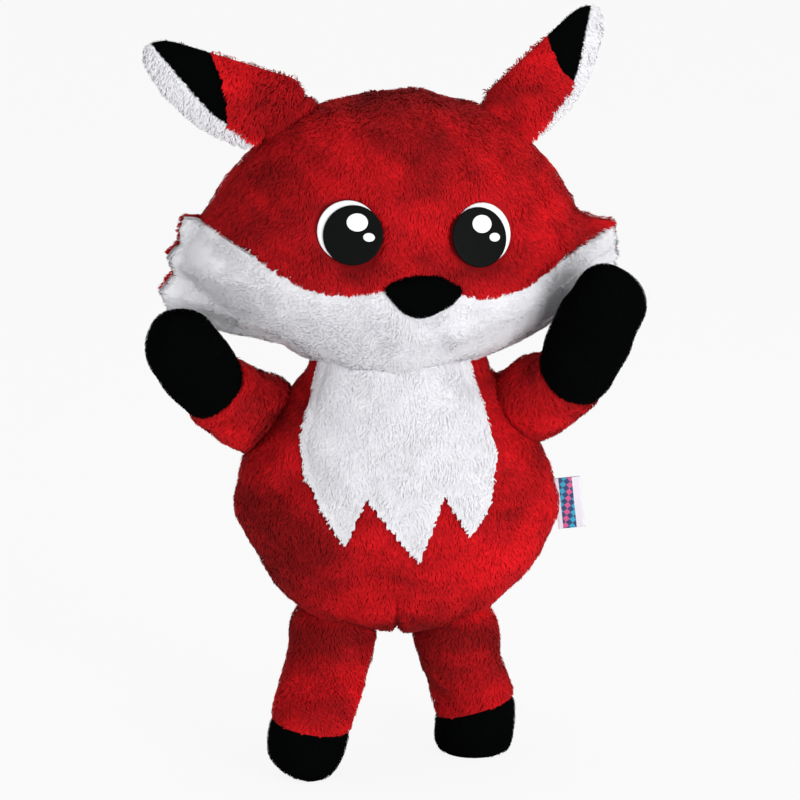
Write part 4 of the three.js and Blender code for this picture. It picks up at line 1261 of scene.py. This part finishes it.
def cheek_wedge(side, inner, outer, rows):
    """A wedge that carries the face's surface outward, from a line on the face to an outer edge."""
    inner, outer = along_line(inner, rows), along_line(outer, rows)
    share = np.linspace(0, 1, 28)
    rings = []
    for near, far in zip(inner, outer):
        places = near + (far - near) * share[:, None]
        face = face_depth(places[:, 0], places[:, 1])
        flare = flared(share, face[0], (face[1] - face[0]) / share[1], WEDGE["level"])
        depth = soft_min(face, flare, 0.01 + WEDGE["blend"] * share) + wedge_root(share)
        depth += seam_sink(places) * (1 - share)
        rings.append(wedge_ring(places, depth, side, 3))
    return closed_wedge(rings)


def under_cheeks(points):
    """Whether places on the face lie behind a cheek's wedge."""
    covered = np.zeros(len(points), bool)
    for cheek in CHEEKS.values():
        (top_x, top_z), (low_x, low_z) = cheek["inner"]
        end_x, end_z = cheek["outer"][-1]
        away = points[:, 0] * cheek["side"]
        inner = np.interp(points[:, 2], [low_z, top_z], [low_x, top_x]) + CHEEK_OVERLAP[0]
        floor = np.interp(away, [low_x, end_x], [low_z, end_z]) + CHEEK_OVERLAP[1]
        covered |= (away > inner) & (points[:, 2] > floor)
    return covered


def corner_skin():
    """The red corner above the right cheek, drawn out from the head to a point."""
    lower, upper = along_line(RED_CORNER["lower"], 34), along_line(RED_CORNER["upper"], 34)
    share = np.linspace(0, 1, 12)
    root, probe = lower[0][0], RED_CORNER["probe"]
    start = face_depth(root, lower[0][1] + share * (upper[0][1] - lower[0][1]))
    rings = []
    for low, high, out in zip(lower, upper, np.linspace(0, 1, 34)):
        places = low + (high - low) * share[:, None]
        face = face_depth(places[:, 0], places[:, 1])
        rise = face_depth(root + probe, places[:, 1]) - face_depth(root, places[:, 1])
        flare = flared(out, start, rise * RED_CORNER["length"] / probe, RED_CORNER["level"])
        depth = soft_min(face, flare, 0.01 + RED_CORNER["blend"] * out) + wedge_root(out)
        depth += seam_sink(places) * (1 - out)
        rings.append(wedge_ring(places, depth, 1, 2))
    return closed_wedge(rings)


def pad_skin(outline, centre, half_thickness, middle_y, place):
    """A thin padded plate with a rounded edge, from an outline in the front view."""
    outline = np.asarray(outline, float)
    dense = []
    for a, b in zip(outline, np.roll(outline, -1, axis=0)):
        steps = max(2, int(np.hypot(*(b - a)) / 1.5))
        dense += [a + (b - a) * k / steps for k in range(steps)]
    dense = np.array(dense)
    area = ((dense[:, 0] * np.roll(dense[:, 1], -1)) - (np.roll(dense[:, 0], -1) * dense[:, 1])).sum()
    if area < 0:
        dense = dense[::-1]
    centre = np.asarray(centre, float)
    rings = []
    for turn in np.radians(np.linspace(-80, 80, 13)):
        share = math.cos(turn) ** 0.5
        y = middle_y - half_thickness * math.sin(turn)
        flat = centre + (dense - centre) * (0.1 + 0.9 * share)
        rings.append(np.stack([flat[:, 0], np.full(len(flat), y), flat[:, 1]], 1))
    start = (centre[0], middle_y + half_thickness, centre[1])
    end = (centre[0], middle_y - half_thickness, centre[1])
    return skin_over(rings, start, end, place)


def disc_skin(axes, at, across, up, half_width, half_height, depth, thickness, dome):
    """A flat appliqued disc with a soft edge, laid in the face."""
    turn = np.arange(72) / 72 * 2 * np.pi
    rings = []
    rows = [(depth, 0.97), (depth, 1.0), (depth - thickness * 0.5, 1.0), (depth - thickness * 0.85, 0.985)]
    rows += [(depth - thickness - dome * (1 - s**2), s) for s in (0.95, 0.85, 0.7, 0.5, 0.3, 0.12)]
    for y, scale in rows:
        x, z = across + np.cos(turn) * half_width * scale, up + np.sin(turn) * half_height * scale
        rings.append(at + x[:, None] * axes[0] + y * axes[1] + z[:, None] * axes[2])
    start = at + across * axes[0] + depth * axes[1] + up * axes[2]
    end = at + across * axes[0] + (depth - thickness - dome) * axes[1] + up * axes[2]
    return skin_over(rings, start, end, head_place)


def build_eyes(sizes):
    """Each eye: a white backing, a black disc and two white highlights, laid one on another."""
    black = EYE["sunk"] - EYE["felt"] - EYE["ply_gap"]
    glint = black - EYE["felt"] - EYE["ply_gap"]
    for side, name in ((-1, "left"), (1, "right")):
        axes, at = face_frame(side * EYE["across"], EYE["height"], EYE["radius"] / 2)
        backing = (side * EYE["shift"], EYE["rise"], EYE["backing"], EYE["backing"])
        for part, tone, spot, depth, thickness, dome in (
            ("backing", "white", backing, EYE["sunk"], EYE["felt"], EYE["dome"]),
            ("disc", "black", (0, 0, EYE["radius"], EYE["radius"]), black, EYE["felt"], EYE["dome"]),
            ("large_highlight", "white", LARGE_GLINT, glint, EYE["glint"], 0.0),
            ("small_highlight", "white", SMALL_GLINT, glint, EYE["glint"], 0.0),
        ):
            skin = disc_skin(axes, at, *spot, depth, thickness, dome)
            node, material = f"eye_{part}_{name}", finishes(sizes)[f"eye_{tone}"]
            mesh_piece(f"{node}_stitched", skin, material, "head", node)


def nose_outline():
    """The nose's closed outline, smooth, evenly spaced and the right way round."""
    table = np.array(NOSE_OUTLINE + NOSE_OUTLINE[:1], float) * [NOSE["half_width"], NOSE["height"]]
    dense = smooth_rows(np.concatenate([table[-3:-1], table, table[1:3]]), 700)
    start = np.argmin(np.hypot(*(dense[:350] - table[0]).T))
    end = 350 + np.argmin(np.hypot(*(dense[350:] - table[0]).T))
    return dense[start:end][:: max(1, (end - start) // 96)][::-1]


def build_nose(sizes):
    """A padded rounded triangle of black short plush."""
    axes, at = face_frame(*NOSE["at"], NOSE["height"] / 2)
    outline = nose_outline()
    rim = NOSE["sunk"] - NOSE["rim"]
    rings = []
    for angle in np.linspace(-0.5, 1, 22)[:-1] * math.pi / 2:
        scale = math.cos(angle) ** (0.72 if angle > 0 else 0.3)
        bulge = NOSE["thickness"] - NOSE["rim"] if angle > 0 else NOSE["tuck"]
        flat, y = outline * scale, rim - bulge * math.sin(angle)
        rings.append(at + flat[:, :1] * axes[0] + y * axes[1] + flat[:, 1:] * axes[2])
    low = at + NOSE["sunk"] * axes[1]
    high = at + (NOSE["sunk"] - NOSE["thickness"]) * axes[1]
    skin = skin_over(rings, low, high, head_place)
    pile = short_pile(sizes, skin, 71, down_nap, lean=50, spacing=0.8)
    plush_piece(sizes, "nose_plush", skin, "black", "head", "nose", [pile], 0.4)


def ear_axes(ear):
    """Across to the inner edge, through and along an ear, in the head's frame."""
    side, angle = ear["side"], math.radians(ear["rise"])
    lengthwise = np.array([side * math.cos(angle), 0, math.sin(angle)])
    inner = np.array([-side * math.sin(angle), 0, math.cos(angle)])
    return np.array([inner, np.cross(lengthwise, inner), lengthwise])


def build_ears(sizes):
    """Each ear: a red panel on a rolled base seam, a black tip, and a white lining that shows as a rim."""
    for name, ear in EARS.items():
        side, length = ear["side"], ear["length"]
        table = [(s * length, (i + o) / 2 * length, (i - o) / 2 * length, t) for s, i, o, t in EAR_ROWS]
        rows = smooth_rows(table, 84, lead=1)
        rim = np.array(ear["rim"], float) * length
        axes = ear_axes(ear)
        base = np.array([side * ear["base_across"], EAR["base_back"], EAR["base_height"]])
        count = 84
        turn = np.arange(count) / count * 2 * np.pi
        rings = []
        for s, middle, half, thick in rows:
            x = middle + np.cos(turn) * max(half, 0.6)
            y = np.sin(turn) * EAR["thickness"] * max(thick, 0.15) / 2
            rings.append(np.stack([x, y, np.full(count, s)], 1))
        place = lambda p: head_place(base + p @ axes)
        skin = skin_over(rings, (0, 0, -0.4), (rows[-1][1], 0, length + 0.6), place)
        fall = math.radians(EAR["slope"])
        slope = np.array([side * math.cos(fall), 0, -math.sin(fall)])
        upward = np.array([side * math.sin(fall), 0, math.cos(fall)])

        def region(p):
            """The part at each point, or none under the base seam."""
            x, y, z = p.T
            inner_edge = np.interp(z, rows[:, 0], rows[:, 1] + rows[:, 2])
            turned = EAR["turned"] * np.clip((x - inner_edge) / EAR["turn_width"] + 1, 0, 1)
            back = -side * y > (0.5 - EAR["lining"] + turned) * EAR["thickness"]
            in_rim = x < np.interp(z, rim[:, 0], rim[:, 1])
            share = (x + length) / (2 * length)
            bow = EAR["tip_bow"] * np.sin(np.pi * np.clip((x / length + 0.2) / 0.4, 0, 1))
            tip = z > (ear["tip"][1] + (ear["tip"][0] - ear["tip"][1]) * share - bow) * length
            found = np.where(back | in_rim, "lining", np.where(tip, "tip", "panel"))
            return np.where((p @ axes) @ upward > EAR["lift"], found, "none")

        nap = steady_nap([side * 0.7, 0, -1.0])
        for part, tone, seed, of_pile in (
            ("lining", "white", 80, 0.75), ("tip", "black", 90, None), ("panel", "red", 100, 1.0),
        ):
            piece_skin = skin.kept(region(skin.middles()) == part)
            grow = dict(keep=lambda p: region(p) == part)
            if part == "tip":
                piles = [short_pile(sizes, piece_skin, seed + side, nap, spacing=0.75, **grow)]
            else:
                grow.update(spacing=0.85, clump=0.5, messy=0.5)
                piles = [long_pile(sizes, piece_skin, seed + side, 46, nap, of_pile, **grow)]
            if part == "panel":
                bead = bead_skin(base, slope, EAR["bead"], EAR["base_half"])
                piles.append(long_pile(sizes, bead, 99 + side, 68, down_nap, length=0.8))
                piece_skin = joined([piece_skin, bead])
            node = f"ear_{part}_{name}"
            plush_piece(sizes, f"{node}_plush", piece_skin, tone, f"ear_{name}", node, piles, 0.3)


def bead_skin(centre, way, radius, half):
    """The rolled seam at an ear's base."""
    across = unit(np.cross([0, 1, 0], way))
    along = np.cross(way, across)
    rings = []
    straight = half - radius
    for turn in np.radians(np.linspace(-84, 84, 19)):
        shift = straight * (1 if turn > 0 else -1) if abs(turn) > 1e-6 else 0
        at = centre + way * (shift + radius * math.sin(turn))
        around = radius * math.cos(turn)
        rings.append(ring_around(at, across, along, around, around, around, 2, 28))
    return skin_over(rings, centre - way * half, centre + way * half, head_place)


def cut_across(skin, curve, share, snap):
    """Moves the points near a seam across a limb onto it, and tells how far beyond it points are."""
    path, ways = curve
    i = int(round(share * (len(path) - 1)))
    beyond = lambda p: (p - path[i]) @ ways[i]
    near = np.abs(beyond(skin.drawn)) < snap
    skin.drawn[near] -= ways[i] * beyond(skin.drawn)[near][:, None]
    return beyond


def tuck_sleeve(skin, arm):
    """Flattens the front of an arm's round root past its seam, so that the body's cover passes over it."""
    past = (skin.drawn[:, [0, 2]] - arm["seam"]) @ arm["inward"]
    ahead = np.minimum(skin.drawn[:, 1] - arm["root"][1], 0)
    skin.drawn[:, 1] -= ahead * 0.65 * np.clip(past / 6, 0, 1)
    skin.points = body_place(skin.drawn)


def build_arms(sizes):
    """Each arm: a red sleeve with a black mitt, on a filling."""
    for name, arm in ARMS.items():
        root = np.array(arm["root"], float)
        curve = curve_through([root, root + arm["cuff"], root + arm["tip"]])
        share = np.linalg.norm(arm["cuff"]) / np.linalg.norm(np.diff(curve[0], axis=0), axis=1).sum()
        rows = [(share / 2, (SHOULDER + CUFF) / 2), (share, CUFF)]
        rows += [((share + 1) / 2, arm["mitt"]), (1, MITT)]
        sides = np.array([0, 1.0, 0])
        skin = limb_skin(curve, sides, SHOULDER, rows, 0, 72, body_place, 1.6)
        beyond = cut_across(skin, curve, share, 0.9)
        tuck_sleeve(skin, arm)
        groove = LIMB_SEAM["depth"] * seam_line(beyond(skin.drawn), LIMB_SEAM["width"])
        skin.pushed(lumpy(skin.points, ARM_LUMPS) - groove)
        past = beyond(skin.middles())
        sleeve, mitt = skin.kept(past < 0), skin.kept(past >= 0)
        nap = steady_nap(unit(arm["cuff"]) * 0.3 + [0, 0, -1.0])
        on_sleeve = lambda p: (beyond(p) < 0) & outside_torso(p)
        pile = long_pile(sizes, sleeve, 121, 68, nap, 0.95, keep=on_sleeve)
        body = f"arm_{name}"
        plush_piece(sizes, f"sleeve_{name}_plush", sleeve, "red", body, f"sleeve_{name}", [pile], 0.2)
        pile = short_pile(sizes, mitt, 131, nap, keep=lambda p: beyond(p) >= 0)
        plush_piece(sizes, f"mitt_{name}_plush", mitt, "black", body, f"mitt_{name}", [pile], 0.4)
        inner = limb_skin(curve, sides, SHOULDER, rows, COVER_WALL + LIMB_ROOM, 60, body_place, 2.5)
        tuck_sleeve(inner, arm)
        fill_piece(f"arm_{name}_fibre", inner, body, f"arm_filling_{name}", sizes)


def outside_torso(points):
    """True where a limb's surface lies outside the torso's."""
    share = np.clip((points[:, 2] - TORSO["bottom"]) / (TORSO["top"] - TORSO["bottom"]), -0.2, 1.2)
    rows = [(-0.02, 0, 0, 0)] + TORSO_ROWS + [(1.02, 0, 0, 0)]
    shift = np.interp(share, [row[0] for row in rows], [row[3] for row in rows]) * TORSO["half_width"]
    wide, deep = form_at(rows, share)
    w = wide * TORSO["half_width"] + 1e-3
    d = deep * np.where(points[:, 1] < 0, TORSO["front"], TORSO["back"]) + 1e-3
    power = TORSO["power"]
    return (np.abs(points[:, 0] - shift) / w) ** power + (np.abs(points[:, 1]) / d) ** power > TORSO_CLEAR


def build_legs(sizes):
    """Each leg: a red cover with a black foot, on a filling."""
    for name, leg in LEGS.items():
        skin = leg_skin(leg, 0, 72, body_place)
        above = lambda p: p[:, 2] - leg["seam"] - leg["seam_slope"] * (p[:, 0] - leg["foot"][0])
        off = above(skin.drawn)
        near = np.abs(off) < 0.9
        skin.drawn[near, 2] -= off[near]
        skin.points = body_place(skin.drawn)
        lumps = lumpy(skin.points, LEG_LUMPS) * np.clip(skin.drawn[:, 2] / 8, 0, 1)
        skin.pushed(lumps - LIMB_SEAM["depth"] * seam_line(above(skin.drawn), LIMB_SEAM["width"]))
        skin.points[:, 2] = np.maximum(skin.points[:, 2], 0.0)
        middles = skin.middles()
        cover, foot = skin.kept(above(middles) > 0), skin.kept(above(middles) <= 0)
        on_leg = lambda p: (above(p) > 2) & outside_torso(p)
        short_at_seam = lambda p: np.clip(0.4 + above(p) / 12, 0.4, 1)
        pile = long_pile(sizes, cover, 141, 68, down_nap, 0.95, keep=on_leg, shape=short_at_seam)
        body = f"leg_{name}"
        plush_piece(sizes, f"leg_{name}_plush", cover, "red", body, f"leg_cover_{name}", [pile], 0.2)
        pile = short_pile(sizes, foot, 151, down_nap, keep=lambda p: (above(p) <= 0) & (p[:, 2] > 2))
        plush_piece(sizes, f"foot_{name}_plush", foot, "black", body, f"foot_{name}", [pile], 0.4)
        inner = leg_skin(leg, COVER_WALL + LIMB_ROOM, 40, body_place)
        fill_piece(f"leg_{name}_fibre", inner, body, f"leg_filling_{name}", sizes)


def build_tail(sizes):
    """A plump tail with a white tip."""
    rise = math.radians(TAIL["rise"])
    root = np.array(TAIL["root"], float)
    along = np.array([0, math.cos(rise), math.sin(rise)])
    lift = np.array([0, -math.sin(rise), math.cos(rise)])
    end = root + along * TAIL["length"] + lift * TAIL["curl"]
    curve = bent_curve(root, root + along * TAIL["length"] / 2, end)
    rows = [(s, r * TAIL["radius"]) for s, r in TAIL_ROWS]
    sides = np.array([1.0, 0, 0])
    skin = limb_skin(curve, sides, TAIL["root_radius"], rows, 0, 80, body_place, 1.8)
    beyond = cut_across(skin, curve, TAIL["tip"], 1.0)
    skin.points = body_place(skin.drawn)
    groove = TAIL_SEAM_DEPTH * seam_line(beyond(skin.drawn), LIMB_SEAM["width"])
    skin.pushed(lumpy(skin.points, TAIL_LUMPS) - groove)
    past = beyond(skin.middles())
    for part, tone, mask, keep in (
        ("cover", "red", past < 0, lambda p: (beyond(p) < 0) & outside_torso(p)),
        ("tip", "white", past >= 0, lambda p: beyond(p) >= 0),
    ):
        piece_skin = skin.kept(mask)
        pile = long_pile(sizes, piece_skin, 161, 56, steady_nap(along), keep=keep)
        plush_piece(sizes, f"tail_{part}_plush", piece_skin, tone, "tail", f"tail_{part}", [pile], 0.3)
    inner = limb_skin(curve, sides, TAIL["root_radius"], rows, COVER_WALL + LIMB_ROOM, 40, body_place, 5)
    fill_piece("tail_fibre", inner, "tail", "tail_filling", sizes)


def build_label(sizes):
    """A folded loop of satin ribbon in the body's side seam."""
    reach, half, slit = LABEL["reach"], LABEL["height"] / 2, LABEL["slit"] / 2
    outer = LABEL["ply"] + slit
    bend = np.radians(np.linspace(-90, 90, 13))
    out = np.linspace(-LABEL["tuck"], reach - outer, 14)
    section = np.array(
        [(x, -outer) for x in out[:-1]]
        + [(reach - outer + outer * math.cos(t), outer * math.sin(t)) for t in bend]
        + [(x, outer) for x in out[-2::-1]]
        + [(x, slit) for x in out[:-1]]
        + [(reach - outer + slit * math.cos(t), slit * math.sin(t)) for t in bend[::-1]]
        + [(x, -slit) for x in out[-2::-1]]
    )
    rings = []
    for z in np.linspace(-half, half, 40):
        wave = 0.5 * np.sin(z / half * 2.2) * (section[:, 0] / reach) ** 2
        rings.append(np.stack([section[:, 0], section[:, 1] + wave, np.full(len(section), z)], 1))
    lean = np.array(Matrix.Rotation(math.radians(-LABEL["lean"]), 3, "Y"))
    place = lambda p: body_place(p @ lean.T + LABEL["at"])
    skin = skin_over(rings, (reach / 2, 0, -half), (reach / 2, 0, half), place)
    satin = finishes(sizes)["satin"]
    piece = mesh_piece("side_label_ribbon", skin, satin, "label", "side_label")


FLOOR_SPAN = 14.0
LAMPS = [
    # name, place and size in metres, power in watts
    ("key", (1.25, -2.05, 0.55), 1.2, 42.0),
    ("fill", (-1.6, -1.7, 0.35), 1.6, 14.0),
    ("top", (0.1, 0.2, 2.0), 1.4, 7.0),
]
LAMPS_AIM = (0, 0, 0.24)
# the picture's side in pixels, its scale in mm to the pixel, and its middle in pixels from the fox's foot
PHOTO = dict(side=800, pixel=0.62, across=0.5, up=360)
# a long lens from far off, since the photo shows next to no perspective
CAMERA_AWAY = 15000.0
FILM = 36


def build_stage(sizes):
    """Pale floor, soft studio light and the camera."""
    scene = bpy.context.scene
    scene.view_settings.view_transform = "Standard"
    world = bpy.data.worlds.new("Studio")
    scene.world = world
    world.use_nodes = True
    tree = world.node_tree
    tree.nodes.clear()
    rays = add_node(tree, "ShaderNodeLightPath")
    soft, white = (
        add_node(tree, "ShaderNodeBackground", Color=(1, 1, 1, 1), Strength=strength).outputs[0]
        for strength in (0.45, 1.0)
    )
    mixed = add_node(tree, "ShaderNodeMixShader", _0=rays.outputs["Is Camera Ray"], _1=soft, _2=white)
    add_node(tree, "ShaderNodeOutputWorld", Surface=mixed.outputs[0])

    mesh = bpy.data.meshes.new("floor")
    corners = [(-1, -1), (1, -1), (1, 1), (-1, 1)]
    mesh.from_pydata([(x * FLOOR_SPAN, y * FLOOR_SPAN, 0) for x, y in corners], [], [(0, 1, 2, 3)])
    floor = place_object("floor", mesh)
    # matt white paper: shows the fox's soft shadow, and to the camera nearly as bright as the world behind
    material, tree = new_material("Matt white paper")
    rays = add_node(tree, "ShaderNodeLightPath")
    paper = add_node(tree, "ShaderNodeBsdfDiffuse", Color=(0.75, 0.75, 0.75, 1))
    white = add_node(tree, "ShaderNodeEmission", Color=(1, 1, 1, 1), Strength=1.0)
    share = add_node(
        tree, "ShaderNodeMath", {"operation": "MULTIPLY"}, _0=rays.outputs["Is Camera Ray"], _1=0.9
    )
    mixed = add_node(
        tree, "ShaderNodeMixShader", _0=share.outputs[0], _1=paper.outputs[0], _2=white.outputs[0]
    )
    add_node(tree, "ShaderNodeOutputMaterial", Surface=mixed.outputs[0])
    mesh.materials.append(material)

    for name, place, size, power in LAMPS:
        lamp = bpy.data.lights.new(name, "AREA")
        lamp.size = size
        lamp.energy = power
        holder = place_object(name, lamp)
        holder.location = place
        holder.rotation_euler = (Vector(LAMPS_AIM) - Vector(place)).to_track_quat("-Z", "Y").to_euler()

    down = sizes.camera_height
    forward = np.array([0, math.cos(down), -math.sin(down)])
    up = np.array([0, math.sin(down), math.cos(down)])
    pixel = PHOTO["pixel"]
    centre = STAND_AT + [PHOTO["across"] * pixel, 0, 0] + up * PHOTO["up"] * pixel
    camera = bpy.data.cameras.new("camera")
    camera.sensor_width = FILM
    camera.lens = FILM * CAMERA_AWAY / (PHOTO["side"] * pixel)
    camera.clip_end = 100
    holder = place_object("camera", camera)
    holder.location = (centre - forward * CAMERA_AWAY) * MM
    holder.rotation_euler = Vector(forward).to_track_quat("-Z", "Y").to_euler()
    scene.camera = holder


# Add-on


def colour_property(name, description, hex_colour):
    """A colour that a user can pick."""
    return bpy.props.FloatVectorProperty(
        name=name, description=description, subtype="COLOR", size=3, min=0, max=1,
        default=linear(hex_colour)[:3],
    )


def length_property(name, description, default, low, high):
    """A length in millimetres."""
    return bpy.props.FloatProperty(
        name=name, description=description, unit="CAMERA", default=default, min=low, max=high
    )


class FoxSizes(bpy.types.PropertyGroup):
    """What a user would change on the fox."""

    red: colour_property("Red plush", "Colour of the red pile halfway up", "#BA0D15")
    white: colour_property("White plush", "Colour of the white pile halfway up", "#E9E9ED")
    black: colour_property("Black plush", "Colour of the short black pile halfway up", "#040605")
    eye_black: colour_property("Eye black", "Colour of the eye discs", "#060707")
    eye_white: colour_property("Eye white", "Colour of the eye backings and highlights", "#EEF1F4")
    ribbon_white: colour_property("Ribbon", "Ground colour of the side label", "#E6E4EE")
    ribbon_blue: colour_property("Ribbon blue", "First colour of the label's lozenges", "#2FA3C7")
    ribbon_pink: colour_property("Ribbon pink", "Second colour of the label's lozenges", "#D4578E")
    pile: length_property("Red pile length", "Length of the red pile, in mm", 4.4, 1, 15)
    white_pile: length_property("White pile length", "Length of the white pile, in mm", 3.6, 1, 15)
    short_pile: length_property("Short pile length", "Length of the black pile, in mm", 1.6, 0.5, 6)
    lock: length_property("Lock width", "Width of one lock of pile, in mm", 0.72, 0.3, 4)
    spacing: length_property("Lock spacing", "Distance between locks, in mm", 0.92, 0.7, 6)
    camera_height: bpy.props.FloatProperty(
        name="Camera height", description="How far the camera looks down", subtype="ANGLE",
        default=math.radians(14), min=math.radians(-10), max=math.radians(60),
    )


class FoxStep:
    """Runs one building function with the scene's sizes."""

    bl_options = {"REGISTER", "UNDO"}

    def execute(self, context):
        type(self).build(context.scene.fox_sizes)
        return {"FINISHED"}


class FOX_OT_torso(FoxStep, bpy.types.Operator):
    """Body cover, bib and filling"""

    bl_idname = "fox.torso"
    bl_label = "Torso and bib"
    build = staticmethod(build_torso)


class FOX_OT_head(FoxStep, bpy.types.Operator):
    """Head cover, face band, cheeks and filling"""

    bl_idname = "fox.head"
    bl_label = "Head"
    build = staticmethod(build_head)


class FOX_OT_eyes(FoxStep, bpy.types.Operator):
    """Both eyes with their highlights"""

    bl_idname = "fox.eyes"
    bl_label = "Eyes"
    build = staticmethod(build_eyes)


class FOX_OT_nose(FoxStep, bpy.types.Operator):
    """Padded nose"""

    bl_idname = "fox.nose"
    bl_label = "Nose"
    build = staticmethod(build_nose)


class FOX_OT_ears(FoxStep, bpy.types.Operator):
    """Both ears with tips and linings"""

    bl_idname = "fox.ears"
    bl_label = "Ears"
    build = staticmethod(build_ears)


class FOX_OT_arms(FoxStep, bpy.types.Operator):
    """Both arms with mitts"""

    bl_idname = "fox.arms"
    bl_label = "Arms"
    build = staticmethod(build_arms)


class FOX_OT_legs(FoxStep, bpy.types.Operator):
    """Both legs with feet"""

    bl_idname = "fox.legs"
    bl_label = "Legs"
    build = staticmethod(build_legs)


class FOX_OT_tail(FoxStep, bpy.types.Operator):
    """Tail with its tip"""

    bl_idname = "fox.tail"
    bl_label = "Tail"
    build = staticmethod(build_tail)


class FOX_OT_label(FoxStep, bpy.types.Operator):
    """Satin loop in the side seam"""

    bl_idname = "fox.label"
    bl_label = "Side label"
    build = staticmethod(build_label)


class FOX_OT_stage(FoxStep, bpy.types.Operator):
    """Floor, lights and camera"""

    bl_idname = "fox.stage"
    bl_label = "Stage"
    build = staticmethod(build_stage)


STEPS = (
    FOX_OT_torso, FOX_OT_head, FOX_OT_eyes, FOX_OT_nose, FOX_OT_ears, FOX_OT_arms, FOX_OT_legs, FOX_OT_tail,
    FOX_OT_label, FOX_OT_stage,
)


class FOX_PT_panel(bpy.types.Panel):
    """Lists the fox's pieces in the sidebar"""

    bl_idname = "FOX_PT_panel"
    bl_label = "Plush fox"
    bl_space_type = "VIEW_3D"
    bl_region_type = "UI"
    bl_category = "Plush fox"

    def draw(self, context):
        for name in FoxSizes.__annotations__:
            self.layout.prop(context.scene.fox_sizes, name)
        for step in STEPS:
            self.layout.operator(step.bl_idname)


def register():
    for kind in (FoxSizes, *STEPS, FOX_PT_panel):
        bpy.utils.register_class(kind)
    bpy.types.Scene.fox_sizes = bpy.props.PointerProperty(type=FoxSizes)


def unregister():
    del bpy.types.Scene.fox_sizes
    for kind in reversed((FoxSizes, *STEPS, FOX_PT_panel)):
        bpy.utils.unregister_class(kind)


def main():
    register()
    bpy.ops.fox.torso()
    bpy.ops.fox.head()
    bpy.ops.fox.eyes()
    bpy.ops.fox.nose()
    bpy.ops.fox.ears()
    bpy.ops.fox.arms()
    bpy.ops.fox.legs()
    bpy.ops.fox.tail()
    bpy.ops.fox.label()
    bpy.ops.fox.stage()


if __name__ == "__main__":
    main()
